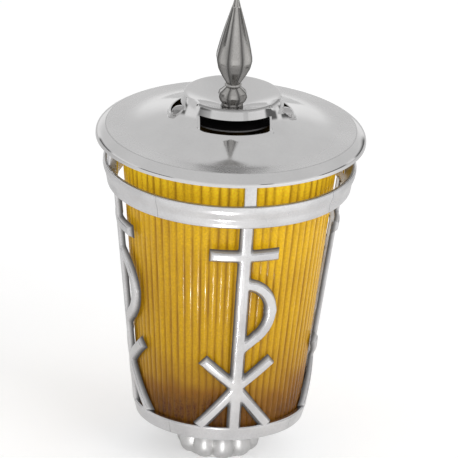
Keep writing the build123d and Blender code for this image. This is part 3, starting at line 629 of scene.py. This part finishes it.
def ring_profiles():
    """Closed profiles of the base ring and the main ring, as (radius, height, corner radius)."""
    bore = FRAME_RADIUS_LOW - BASE_RING_WALL
    flange = PAN_LOW
    inner = FRAME_RADIUS_HIGH - MONOGRAM_DEPTH
    lip = MAIN_LIP_RADIUS
    base = [
        (34.0, BASE_RING_LOW + 0.8, 0.3),
        (34.0, flange, 0.3),
        (bore, flange, 0.1),
        (bore, BASE_RING_TOP, 0.7),
        (FRAME_RADIUS_LOW, BASE_RING_TOP, 1.0),
        (46.9, 24.0, 2.0),
        (46.3, BASE_RING_LOW, 1.3),
        (bore - 1.6, BASE_RING_LOW, 0.4),
        (bore - 2.4, BASE_RING_LOW + 0.8, 0.3),
    ]
    main = [
        (inner, MAIN_RING_LOW, 0.7),
        (FRAME_RADIUS_HIGH + 2.7, MAIN_RING_LOW, 1.5),
        (FRAME_RADIUS_HIGH + 3.25, MAIN_RING_LOW + 2.6, 1.2),
        (FRAME_RADIUS_HIGH + 3.5, MAIN_RING_LOW + 5.4, 5.0),
        (FRAME_RADIUS_HIGH + 5.3, MAIN_RING_LOW + 9.6, 3.0),
        (lip, MAIN_RING_LOW + 11.2, 2.0),
        (lip, MAIN_RING_TOP, 0.8),
        (lip - MAIN_LIP_WALL, MAIN_RING_TOP, 0.8),
    ]
    return round_corners(base), round_corners(main)


def post_mesh():
    """The short post over the main ring, at the front."""
    outer = MAIN_LIP_RADIUS - MAIN_LIP_WALL + 0.6
    inner = outer - 5.5
    half = 3.5
    outline = round_corners(
        [(-half, -outer, 1.1), (half, -outer, 1.1), (half, -inner, 1.1), (-half, -inner, 1.1)]
    )
    levels = [MAIN_RING_TOP - 8.0, MAIN_RING_TOP - 1.0, MAIN_RING_TOP + 1.5, POST_TOP - 0.01]
    spread = [1.22, 1.15, 1.0, 1.0]
    points = [(x * s, y, z) for z, s in zip(levels, spread) for x, y in outline]
    count = len(outline)
    faces = band_faces(levels, count, closed=False)
    faces.append(tuple(reversed(range(count))))
    faces.append(tuple((len(levels) - 1) * count + i for i in range(count)))
    return points, faces


def build_frame():
    """Four castings, each a quarter of both rings with its monogram and post."""
    base, main = ring_profiles()
    seam = 0.06
    bar_points, bar_faces, soot_and_shade = monogram_mesh()
    rings = [lathe(profile, FRONT - 45 + seam, 90 - 2 * seam, 72) for profile in (base, main)]
    points, faces = join([(bar_points, bar_faces), *rings, post_mesh()])
    # Painted shade along the main ring lip's inner top edge, under the lid; nothing elsewhere on the rings
    # and posts.
    lip_edge = MAIN_LIP_RADIUS - 1.6
    for x, y, z in points[len(soot_and_shade) :]:
        edge = z > MAIN_RING_TOP - 0.9 and z < MAIN_RING_TOP + 0.1 and math.hypot(x, y) < lip_edge
        soot_and_shade.append(LIP_EDGE_SHADE if edge else 0.0)
    for side, turn in SIDES.items():
        piece = make_object(f"casting_{side}", turned(points, turn), faces, FRAME_METAL)
        mark_soot_and_shade(piece, soot_and_shade)
        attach(piece, "lamp")
        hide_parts(f"frame_quarter_{side}")


# ---- foot -------------------------------------------------------------------------------------------


def build_foot():
    """The lobed boss: a ring of rounded lobes under a waisted neck and a flat flange."""
    lobes = 10
    lobe = 6.3
    centre = 23.2 - lobe
    middle = 5.4
    core = 18.6
    blend = 1.4
    bore = 7.05
    columns = lobes * 24
    flange_top = high("foot")
    neck = [(19.6, 15.2), (21.3, 17.2), (24.4, 19.4), (29.4, 21.2), (30.8, 21.6), (31.0, 22.0)]
    neck += [(31.0, flange_top - 0.3), (30.7, flange_top)]
    levels = [0.0, 0.0] + list(np.linspace(0.15, 13.6, 30))
    rows = []
    for k, z in enumerate(levels):
        row = []
        for c in range(columns):
            angle = 2 * math.pi * c / columns
            nearest = (angle + math.pi / lobes) % (2 * math.pi / lobes) - math.pi / lobes
            rise = (z - middle) * (0.62 if z > middle else 1.0)
            half_chord = math.sqrt(max(lobe**2 - rise**2 - (centre * math.sin(nearest)) ** 2, 0))
            reach = centre * math.cos(nearest) + half_chord
            r = core
            if half_chord > 0:
                r = math.log(math.exp(reach * blend) + math.exp(core * blend)) / blend - 0.25
            r = r * 0.8 if k == 0 else r
            angle += math.radians(FRONT)
            row.append((r * math.cos(angle), r * math.sin(angle), z))
        rows.append(row)
    round_angles = 2 * math.pi * (np.arange(columns) - columns / 4) / columns
    for r, z in neck + [(bore, flange_top), (bore, 0.0)]:
        rows.append([(r * math.cos(angle), r * math.sin(angle), z) for angle in round_angles])
    points = [p for row in rows for p in row]
    faces = band_faces(rows, columns, closed=True)
    piece = make_object("foot_casting", points, faces, FOOT_METAL, 50)
    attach(piece, "lamp")
    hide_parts("foot")


# ---- glass ------------------------------------------------------------------------------------------


def build_glass():
    """The ribbed tube: convex ribs outside, smooth inside, fire-polished ends."""
    wall = 3.0
    depth = 0.75
    samples = 10
    columns = GLASS_RIBS * samples
    flare = 0.1022
    radius_low = GLASS_RADIUS_TOP - flare * (GLASS_TOP - GLASS_LOW)
    levels = np.concatenate([[0, 0.25, 0.8], np.linspace(2.5, GLASS_TOP - GLASS_LOW - 2.5, 40)])
    levels = np.concatenate([levels, GLASS_TOP - GLASS_LOW - np.array([0.8, 0.25, 0])])
    tuck = {0: 0.8, 1: 0.3, len(levels) - 2: 0.3, len(levels) - 1: 0.8}
    theta = 2 * np.pi * np.arange(columns) / columns
    phase = (np.arange(columns) % samples) / samples * 2 - 1
    rng = np.random.default_rng(7)
    rib_size = np.repeat(rng.uniform(0.85, 1.1, GLASS_RIBS), samples)

    def circle(r, level):
        return np.stack([r * np.cos(theta), r * np.sin(theta), np.full(columns, GLASS_LOW + level)], -1)

    rows = []
    for k, level in enumerate(levels):
        crest = radius_low + flare * level
        r = crest - depth * rib_size * np.abs(phase) ** 2.2 - tuck.get(k, 0)
        rows.append(circle(r, level))
    for k, level in reversed(list(enumerate(levels))):
        rows.append(circle(radius_low + flare * level - wall + tuck.get(k, 0), level))
    points = np.concatenate(rows)
    faces = band_faces(rows, columns, closed=True)
    piece = make_object("ribbed_glass", points, faces, AMBER, 25)
    mark_soot_and_shade(piece, np.repeat([0.0, 1.0], len(levels) * columns))
    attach(piece, "lamp")
    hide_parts("glass")


# ---- lid --------------------------------------------------------------------------------------------

LID_WALL = 1.8
TURRET_WALL = 2.0
RIM_HEIGHT = 1.2
SHOULDER = (69.5, LID_RIM_LOW + 6.5)
SHOULDER_SLOPE = math.radians(26.0)
BRIM_SLOPE = math.radians(1.0)
BRIM_INNER = 62.0
BRIM_CURVE = 36.0
CONE_SLOPE = math.radians(16.9)
TURRET_FOOT_RADIUS = 30.7
TURRET_TOP_RADIUS = 26.7
TURRET_FLARE = 11.0
RIM_ROUND = 2.6
HOOD_EDGE = LID_TOP - 5.7
HOOD_PUSH = 1.5
LOUVRES = 3
SLOT_HALF = 19.5
CUT_RADIUS = 33.95
LIP_RADIUS = 33.75
LIP_TOP = SHOULDER[1] + 8.6
DISH_RIM = 0.9
DISH_HUB_RADIUS = 6.2
DISH_GRADIENT = math.tan(math.radians(19.2))
DISH_HUB = LID_TOP - DISH_GRADIENT * (TURRET_TOP_RADIUS - DISH_RIM - DISH_HUB_RADIUS)
STUD_BORE = 2.7
SLOT_ROWS = 12
CHEEK_WALL = 1.0
CHEEK_BOW = 1.7
# Painted shade: the thin dark line along the turret's top edge at the front louvre.
HOOD_CREASE_SHADE = 0.6
# Painted shade: the thin dark line on the lid's shoulder crease.
SHOULDER_CREASE_SHADE = 0.35


def skin(down, inward):
    """The lid's skin from the rim's foot up to the turret's top, as (radius, height) points."""
    rim = LID_RADIUS - inward
    start = np.array((rim, LID_RIM_LOW + RIM_HEIGHT - down / 2))
    end = np.array((SHOULDER[0], SHOULDER[1] - down))
    chord = np.linalg.norm(end - start)
    pull_start = np.array((0.0, chord))
    pull_end = np.array((-math.cos(SHOULDER_SLOPE), math.sin(SHOULDER_SLOPE))) * chord
    points = [(rim, LID_RIM_LOW + 0.02)]
    for t in np.linspace(0, 1, 15):
        p = (2 * t**3 - 3 * t**2 + 1) * start + (t**3 - 2 * t**2 + t) * pull_start
        p += (3 * t**2 - 2 * t**3) * end + (t**3 - t**2) * pull_end
        points.append(tuple(p))
    brim_end = (BRIM_INNER, end[1] + (end[0] - BRIM_INNER) * math.tan(BRIM_SLOPE))
    points += [(end[0] - 0.3, end[1] + 0.005), ((end[0] + BRIM_INNER) / 2, (end[1] + brim_end[1]) / 2)]
    for turn in np.linspace(BRIM_SLOPE, CONE_SLOPE, 15):
        r = brim_end[0] - BRIM_CURVE * (math.sin(turn) - math.sin(BRIM_SLOPE))
        points.append((r, brim_end[1] + BRIM_CURVE * (math.cos(BRIM_SLOPE) - math.cos(turn))))
    cone_start = points[-1]
    foot_radius = TURRET_FOOT_RADIUS - inward
    foot = (foot_radius, cone_start[1] + (cone_start[0] - foot_radius) * math.tan(CONE_SLOPE))
    top = (TURRET_TOP_RADIUS - inward, LID_TOP)
    flare = TURRET_FLARE + inward
    rounded = round_corners([(*cone_start, 0), (*foot, flare), (*top, 0)], 16)
    return points[:-1], rounded


def cut_at(line, index, value):
    """Index and point where a polyline passes a value of its radius (0) or its height (1)."""
    for i in range(len(line) - 1):
        a, b = line[i], line[i + 1]
        if (a[index] - value) * (b[index] - value) <= 0 and a[index] != b[index]:
            t = (value - a[index]) / (b[index] - a[index])
            return i + 1, (a[0] + t * (b[0] - a[0]), a[1] + t * (b[1] - a[1]))
    raise ValueError("no crossing")


def resample(line, count):
    """A polyline as `count` pieces of equal length."""
    line = np.array(line, float)
    run = np.concatenate([[0], np.cumsum(np.linalg.norm(np.diff(line, axis=0), axis=1))])
    where = np.linspace(0, run[-1], count + 1)
    return list(zip(np.interp(where, run, line[:, 0]), np.interp(where, run, line[:, 1])))


def split_skin(down, inward):
    """The skin in three runs: below the louvre's opening, beside it and above it."""
    low_run, high_run = skin(down, inward)
    i, cut = cut_at(high_run, 0, CUT_RADIUS)
    j, hood = cut_at(high_run, 1, HOOD_EDGE)
    below = low_run + [high_run[0]] + resample([high_run[0]] + high_run[1:i] + [cut], 10)[1:]
    beside = resample([cut] + high_run[i:j] + [hood], SLOT_ROWS)
    return below, beside, [hood, high_run[-1]]


def lid_rows():
    """All rows of the lid's closed section, and the first rows of the opening outside and inside."""
    below, beside, above = split_skin(0.0, 0.0)
    rows = below + beside[1:]
    outer_slot = len(below) - 1
    top_edge = (above[1][0] - 0.35, LID_TOP)
    rows += resample([above[0], (above[1][0] + 0.1, LID_TOP - 0.35)], 5)[1:]
    rows += [(above[1][0] - 0.05, LID_TOP - 0.1), top_edge, (TURRET_TOP_RADIUS - DISH_RIM, LID_TOP - 0.05)]
    dish_out = TURRET_TOP_RADIUS - DISH_RIM - 0.25
    for r in np.linspace(dish_out, DISH_HUB_RADIUS, 16):
        rows.append((r, DISH_HUB + DISH_GRADIENT * (r - DISH_HUB_RADIUS)))
    rows += [(STUD_BORE, DISH_HUB), (STUD_BORE, DISH_HUB - TURRET_WALL)]
    inner_below, inner_beside = split_skin(LID_WALL, TURRET_WALL)[:2]
    for r in np.linspace(DISH_HUB_RADIUS, 25.2, 6):
        rows.append((r, DISH_HUB - TURRET_WALL + DISH_GRADIENT * (r - DISH_HUB_RADIUS)))
    hood = inner_beside[-1]
    rows.append((hood[0] - 0.4, hood[1] + 1.6))
    inner_slot = len(rows)
    rows += inner_beside[::-1]
    under = inner_below[::-1][1:]
    land = SEAT_INNER_RADIUS + 4.5
    spigot_out = SEAT_INNER_RADIUS - 0.5
    spigot_in = spigot_out - 2.5
    rows += [p for p in under if p[0] < spigot_in - 0.8]
    rows += [
        (spigot_in, np.interp(spigot_in, [p[0] for p in under], [p[1] for p in under]) - 0.2),
        (spigot_in, SEAT_TOP - 1.95),
        (spigot_out, SEAT_TOP - 1.95),
        (spigot_out, SEAT_TOP),
        (land, SEAT_TOP),
        (land, np.interp(land, [p[0] for p in under], [p[1] for p in under]) - 0.1),
    ]
    rows += [p for p in under if p[0] > land + 0.8 or p[1] < SHOULDER[1] - LID_WALL - 0.05]
    return rows, outer_slot, inner_slot


def louvre_columns():
    """Columns round the lid as (louvre, place in the opening or None, share of the way to the next one)."""
    columns = []
    inside = 37
    for louvre in range(LOUVRES):
        for k in range(inside):
            columns.append((louvre, 2 * k / (inside - 1) - 1, 0.0))
        for k in range(1, 16):
            columns.append((louvre, None, k / 16))
    return columns, inside


def louvre_angle(column, radius):
    """A column's angle at this radius: the opening's ends are upright and straight."""
    louvre, inside, share = column
    half = math.asin(SLOT_HALF / min(max(radius, 26.0), CUT_RADIUS))
    middle = math.radians(FRONT + LID_TURN) + louvre * 2 * math.pi / LOUVRES
    if inside is not None:
        return middle + half * inside
    return middle + half + share * (2 * math.pi / LOUVRES - 2 * half)


def hood_push(column, radius, height, outside):
    """How far a louvre's hood stands out from the round wall, most at its two ends."""
    if not outside or radius < TURRET_TOP_RADIUS - 1.2 or height < HOOD_EDGE - 1.0:
        return 0.0
    inside, share = column[1:]
    rise = max(0.0, 1 - max(height - HOOD_EDGE, 0) / (LID_TOP - HOOD_EDGE))
    across = inside**2 if inside is not None else max(0.0, 1 - min(share, 1 - share) / 0.13)
    foot = min(1.0, (height - HOOD_EDGE + 1.0) / 1.0)
    return HOOD_PUSH * rise**0.7 * across * foot


def rounded_rim(column, radius, height, outside):
    """The turret's top edge is crisp over a louvre and well rounded between two louvres."""
    inside, share = column[1:]
    near = radius > TURRET_TOP_RADIUS - 2 * RIM_ROUND and height > LID_TOP - 2 * RIM_ROUND
    if not outside or inside is not None or not near:
        return radius, height
    part = min(1.0, min(share, 1 - share) / 0.3)
    part = part * part * (3 - 2 * part)
    depth = max(0.0, 1 - math.hypot(radius - TURRET_TOP_RADIUS, height - LID_TOP) / (2 * RIM_ROUND))
    drop = RIM_ROUND * 0.42 * part * depth * depth
    return radius - 0.8 * drop, height - drop


def louvred_mesh():
    """Disc, rim, turret with three louvres and dished top, as one closed mesh, and how sooty each point is
    or how much painted shade it carries.
    """
    rows, outer_slot, inner_slot = lid_rows()
    columns, inside = louvre_columns()
    count = len(rows)
    per_louvre = len(columns) // LOUVRES
    turret_rows = range(outer_slot, inner_slot)
    points = []
    soot_and_shade = []
    for k, (radius, height) in enumerate(rows):
        outside = k in turret_rows and height > DISH_HUB + DISH_GRADIENT * (radius - DISH_HUB_RADIUS) - 1.0
        for column in columns:
            angle = louvre_angle(column, radius)
            r = radius + hood_push(column, radius, height, outside)
            r, z = rounded_rim(column, r, height, k in turret_rows)
            points.append((r * math.cos(angle), r * math.sin(angle), z))
            if k >= inner_slot - 8:
                soot_and_shade.append(1.0)
            # Painted shade: a thin dark line on the shoulder crease.
            elif abs(radius - SHOULDER[0]) < 0.05 and height > SHOULDER[1] - 0.1:
                soot_and_shade.append(SHOULDER_CREASE_SHADE)
            # Painted shade: a thin dark line along the turret's top edge, at the front louvre only.
            elif height > LID_TOP - 0.4 and radius > TURRET_TOP_RADIUS - 0.4 and column[0] == 0:
                soot_and_shade.append(HOOD_CREASE_SHADE)
            else:
                soot_and_shade.append(0.0)

    def at(row, column):
        return (row % count) * len(columns) + column % len(columns)

    open_outside = range(outer_slot, outer_slot + SLOT_ROWS)
    open_inside = range(inner_slot, inner_slot + SLOT_ROWS)
    faces = []
    for row in range(count):
        for c in range(len(columns)):
            in_slot = c % per_louvre < inside - 1
            if in_slot and (row in open_outside or row in open_inside):
                continue
            faces.append((at(row, c), at(row, c + 1), at(row + 1, c + 1), at(row + 1, c)))
    hood_out = outer_slot + SLOT_ROWS
    cut_in = inner_slot + SLOT_ROWS
    for c in range(len(columns)):
        if c % per_louvre < inside - 1:
            faces.append((at(outer_slot, c), at(outer_slot, c + 1), at(cut_in, c + 1), at(cut_in, c)))
            faces.append((at(hood_out, c + 1), at(hood_out, c), at(inner_slot, c), at(inner_slot, c + 1)))
    for louvre in range(LOUVRES):
        first = louvre * per_louvre
        last = first + inside - 1
        for k in range(SLOT_ROWS):
            for column, flip in ((first, False), (last, True)):
                quad = (
                    at(outer_slot + k, column),
                    at(cut_in - k, column),
                    at(cut_in - k - 1, column),
                    at(outer_slot + k + 1, column),
                )
                faces.append(tuple(reversed(quad)) if flip else quad)
    return points, faces, soot_and_shade


def lip_mesh():
    """The turned-up lip under one louvre, its ends curling up against the wall, on the X axis."""
    section = round_corners(
        [
            (37.9, LIP_TOP - 2.75, 0.2),
            (35.9, LIP_TOP - 2.2, 1.6),
            (LIP_RADIUS + 1.1, LIP_TOP - 0.1, 0.4),
            (LIP_RADIUS + 0.5, LIP_TOP, 0.4),
            (LIP_RADIUS, LIP_TOP - 0.1, 0.3),
            (LIP_RADIUS, LIP_TOP - 2.6, 0.2),
        ],
        5,
    )
    half = math.asin(21.0 / LIP_RADIUS)
    columns = 60
    points = []
    for c in range(columns + 1):
        t = 2 * c / columns - 1
        end = max(0.0, (abs(t) - 0.75) / 0.25)
        for r, z in section:
            angle = half * t
            rise = 1.3 * end**2 * min(1.0, max(0.0, (z - LIP_TOP + 2.7) / 2.0))
            reach = r - 0.5 * end**2
            points.append((reach * math.cos(angle), reach * math.sin(angle), z + rise))
    count = len(section)
    faces = []
    for c in range(columns):
        for k in range(count):
            j = (k + 1) % count
            faces.append((c * count + k, (c + 1) * count + k, (c + 1) * count + j, c * count + j))
    faces.append(tuple(range(count)))
    faces.append(tuple(columns * count + k for k in reversed(range(count))))
    return points, faces


def cheek_mesh(side):
    """The thin wall that closes one end of a louvre between its lip and its hood, on the X axis."""
    beside = split_skin(0.0, 0.0)[1]
    along = [(math.sqrt(r * r - SLOT_HALF**2), z) for r, z in beside]
    low_end = (math.sqrt(LIP_RADIUS**2 - SLOT_HALF**2) + 0.7, LIP_TOP - 0.15)
    high_end = (along[-1][0] + 0.35, along[-1][1] + 0.25)
    edge = []
    for t in np.linspace(0, 1, 12):
        bow = CHEEK_BOW * 4 * t * (1 - t)
        x = low_end[0] + t * (high_end[0] - low_end[0]) + bow * 0.7
        edge.append((x, low_end[1] + t * (high_end[1] - low_end[1]) + bow * 0.7))
    outline = [(x - 0.7, z - 0.5) for x, z in along[::-1]] + [(low_end[0], LIP_TOP - 2.2)] + edge
    points = [(x, side * (SLOT_HALF - 0.15), z) for x, z in outline]
    points += [(x - 0.35, side * (SLOT_HALF + CHEEK_WALL), z) for x, z in outline]
    count = len(outline)
    faces = [tuple(range(count)), tuple(count + k for k in reversed(range(count)))]
    for k in range(count):
        j = (k + 1) % count
        faces.append((k, count + k, count + j, j))
    return points, [face if side < 0 else tuple(reversed(face)) for face in faces]


def build_lid():
    """Disc, turret and the three lips as one piece, its edges softly broken, sooty inside, with painted
    shade on its shoulder crease and the front louvre's crease.
    """
    shell_points, shell_faces, soot_and_shade = louvred_mesh()
    parts = [(shell_points, shell_faces)]
    for louvre in range(LOUVRES):
        for points, faces in (lip_mesh(), cheek_mesh(-1), cheek_mesh(1)):
            parts.append((turned(points, FRONT + LID_TURN + louvre * 360 / LOUVRES), faces))
    points, faces = join(parts)
    soot_and_shade += [0.0] * (len(points) - len(soot_and_shade))
    piece = make_object("polished_lid", points, faces, LID_METAL, 32)
    mark_soot_and_shade(piece, soot_and_shade)
    soften_edges(piece, 0.3, 3, 40)
    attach(piece, "lid")
    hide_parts("lid_shell")


FACET_HOLLOW = 0.035
# Painted shade: how dark each column of a facet is, darkest along the facet edges.
FACET_EDGE_SHADE = (0.85, 0.35, 0.0, 0.0, 0.0, 0.2)


def build_finial():
    """The eight-sided spear with its bulb, neck bead and tip."""
    seat = low("finial")
    tip = high("finial")
    faceted = [
        (6.1, 0.0),
        (6.2, 1.3),
        (7.7, 3.2),
        (8.5, 5.4),
        (7.9, 7.4),
        (5.2, 9.8),
        (3.9, 10.9),
        (4.0, 12.7),
        (5.4, 15.0),
        (7.6, 18.6),
        (9.6, 22.6),
        (10.6, 27.0),
        (10.45, 29.6),
        (8.75, 37.0),
        (6.65, 44.6),
        (4.55, 51.6),
        (2.6, 58.0),
    ]
    turn = math.radians(LID_TURN + 22.5)
    per_facet = 6
    around = 8 * per_facet
    points = []
    for r, h in faceted:
        for k in range(around):
            share = (k % per_facet) / per_facet
            hollow = FACET_HOLLOW * r * 4 * share * (1 - share)
            flat = math.cos(math.pi / 8) / math.cos((share - 0.5) * math.pi / 4)
            reach = r * flat - hollow
            angle = turn + (k // per_facet + share) * math.pi / 4
            points.append((reach * math.cos(angle), reach * math.sin(angle), seat + h))
    faces = [tuple(reversed(range(around)))] + band_faces(faceted, around, closed=False)
    faces.append(tuple((len(faceted) - 1) * around + k for k in range(around)))
    neck = round_corners([(0.3, 10.6, 0), (4.7, 10.8, 1.0), (4.7, 12.8, 1.0), (0.3, 13.0, 0)], 5)
    point = [(0.3, 56.6), (2.3, 57.0), (2.45, 57.6), (2.35, 58.4), (2.0, 59.6)]
    height = tip - seat
    point += [(1.55, 61.4), (1.05, 64.0), (0.62, height - 0.5), (0.3, height - 0.1), (0.05, height)]
    bead = lathe([(r, z + seat) for r, z in neck], 0, 360, 64)
    spike = lathe([(r, z + seat) for r, z in point], 0, 360, 64)
    points, faces = join([(points, faces), bead, spike])
    piece = make_object("faceted_finial", points, faces, FINIAL_METAL, 22)
    # Painted shade: dark lines along the facet edges.
    facet_shade = [FACET_EDGE_SHADE[k % per_facet] for k in range(around)] * len(faceted)
    mark_soot_and_shade(piece, facet_shade + [0.0] * (len(points) - len(facet_shade)))
    soften_edges(piece, 0.12, 2, 24)
    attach(piece, "lid")
    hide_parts("finial")


# ---- stage, lights and camera -----------------------------------------------------------------------

CAMERA_AZIMUTH = 10.5
CAMERA_ELEVATION = 22.0
CAMERA_ROLL = 2.5
CAMERA_DISTANCE = 9000.0
PICTURE_WIDTH = 254.0
AIM_HEIGHT = 129.8
AIM_RIGHT = 1.2


def build_camera():
    """A long lens, a little above the lamp and turned towards its left front."""
    azimuth = math.radians(CAMERA_AZIMUTH)
    elevation = math.radians(CAMERA_ELEVATION)
    roll = math.radians(CAMERA_ROLL)
    level = math.cos(elevation)
    back = Vector((-math.sin(azimuth) * level, -math.cos(azimuth) * level, math.sin(elevation)))
    right = Vector((math.cos(azimuth), -math.sin(azimuth), 0))
    up = back.cross(right)
    aim = Vector((0, 0, AIM_HEIGHT)) + right * AIM_RIGHT
    leaning_right = right * math.cos(roll) + up * math.sin(roll)
    leaning_up = up * math.cos(roll) - right * math.sin(roll)
    data = bpy.data.cameras.new("camera")
    data.sensor_width = 36.0
    data.lens = 36.0 * CAMERA_DISTANCE / PICTURE_WIDTH
    data.clip_start = 0.05
    data.clip_end = 50.0
    camera = bpy.data.objects.new("camera", data)
    bpy.context.scene.collection.objects.link(camera)
    place = (aim + back * CAMERA_DISTANCE) * MM
    camera.matrix_world = Matrix(
        (
            (leaning_right.x, leaning_up.x, back.x, place.x),
            (leaning_right.y, leaning_up.y, back.y, place.y),
            (leaning_right.z, leaning_up.z, back.z, place.z),
            (0, 0, 0, 1),
        )
    )
    bpy.context.scene.camera = camera


def build_floor():
    """A pale floor that reads as white to the eye and to the metal, and keeps the lamp's shadow."""
    m = Nodes("floor")
    m.set(Roughness=0.9)
    cloudy = m.remap(m.noise(8, 3), 0.3, 0.7, 0, 1)
    m.feed("Base Color", m.mix(cloudy, (0.80, 0.80, 0.80), (0.84, 0.84, 0.84)))
    path = m.tree.nodes.new("ShaderNodeLightPath")
    nearer_is_brighter = m.remap(m.parts_of_place()[1], -0.2, 0.3, 0.3, 0.0)
    in_metal = m.math("MULTIPLY", path.outputs["Is Glossy Ray"], nearer_is_brighter)
    to_camera = m.math("MULTIPLY", path.outputs["Is Camera Ray"], 0.3)
    m.shader.inputs["Emission Color"].default_value = (1, 1, 1, 1)
    m.feed("Emission Strength", m.math("MAXIMUM", to_camera, in_metal))
    size = 6000
    corners = [(-size, -size, 0), (size, -size, 0), (size, size, 0), (-size, size, 0)]
    piece = make_object("floor", corners, [(0, 1, 2, 3)], m.material)


WORLD_GAPS = ((-74, 20), (86, 20), (132, 18), (-140, 16), (21, 7))


def build_world():
    """A light tent: bright all round, a little dimmer overhead, with narrow dark gaps between its walls."""
    world = bpy.data.worlds.new("studio")
    world.use_nodes = True
    bpy.context.scene.world = world
    tree = world.node_tree
    tree.nodes.clear()
    output = tree.nodes.new("ShaderNodeOutputWorld")
    background = tree.nodes.new("ShaderNodeBackground")
    tree.links.new(background.outputs[0], output.inputs[0])
    coordinate = tree.nodes.new("ShaderNodeTexCoord")
    parts = tree.nodes.new("ShaderNodeSeparateXYZ")
    tree.links.new(coordinate.outputs["Generated"], parts.inputs[0])

    def calc(operation, a, b=0.0):
        node = tree.nodes.new("ShaderNodeMath")
        node.operation = operation
        for socket, value in zip(node.inputs, (a, b)):
            if isinstance(value, (int, float)):
                socket.default_value = value
            else:
                tree.links.new(value, socket)
        return node.outputs[0]

    def span(value, a, b, c, d):
        node = tree.nodes.new("ShaderNodeMapRange")
        node.interpolation_type = "SMOOTHSTEP"
        for name, number in (("From Min", a), ("From Max", b), ("To Min", c), ("To Max", d)):
            node.inputs[name].default_value = number
        tree.links.new(value, node.inputs["Value"])
        return node.outputs["Result"]

    azimuth = calc("ARCTAN2", parts.outputs["X"], calc("MULTIPLY", parts.outputs["Y"], -1.0))
    height = parts.outputs["Z"]
    overhead = span(height, 0.12, 0.36, 1.0, 0.80)
    dark = None
    for middle, width in WORLD_GAPS:
        off = calc("ABSOLUTE", calc("SUBTRACT", azimuth, math.radians(middle)))
        band = span(off, math.radians(width) * 0.6, math.radians(width), 1.0, 0.0)
        dark = band if dark is None else calc("MAXIMUM", dark, band)
    dark = calc("MULTIPLY", dark, span(height, 0.08, 0.30, 1.0, 0.0))
    tent = calc("MULTIPLY", overhead, calc("SUBTRACT", 1.0, calc("MULTIPLY", dark, 0.85)))
    tree.links.new(tent, background.inputs["Strength"])
    background.inputs["Color"].default_value = (1, 1, 1, 1)


def area_light(name, place, aim, size, power, in_metal):
    """A square softbox."""
    data = bpy.data.lights.new(name, "AREA")
    data.size = size * MM
    data.energy = power
    light = bpy.data.objects.new(name, data)
    bpy.context.scene.collection.objects.link(light)
    light.location = Vector(place) * MM
    light.rotation_euler = (Vector(aim) - Vector(place)).to_track_quat("-Z", "Y").to_euler()
    light.visible_glossy = in_metal
    return light


def build_lights():
    """A key from the right front and a small lamp for the highlights on the glass."""
    area_light("key", (900, -1100, 900), (0, 0, 120), 1200, 9, False)
    glint = area_light("glint", (-50, -212, 1), (-10, -56, 100), 9, 0.16, True)
    glint.visible_diffuse = False
    glint.visible_camera = False


# ---- assembly ---------------------------------------------------------------------------------------

dress_cad_nodes()
build_frame()
build_foot()
build_glass()
build_lid()
build_finial()
build_floor()
build_world()
build_lights()
build_camera()

bpy.context.scene.view_settings.view_transform = "Standard"
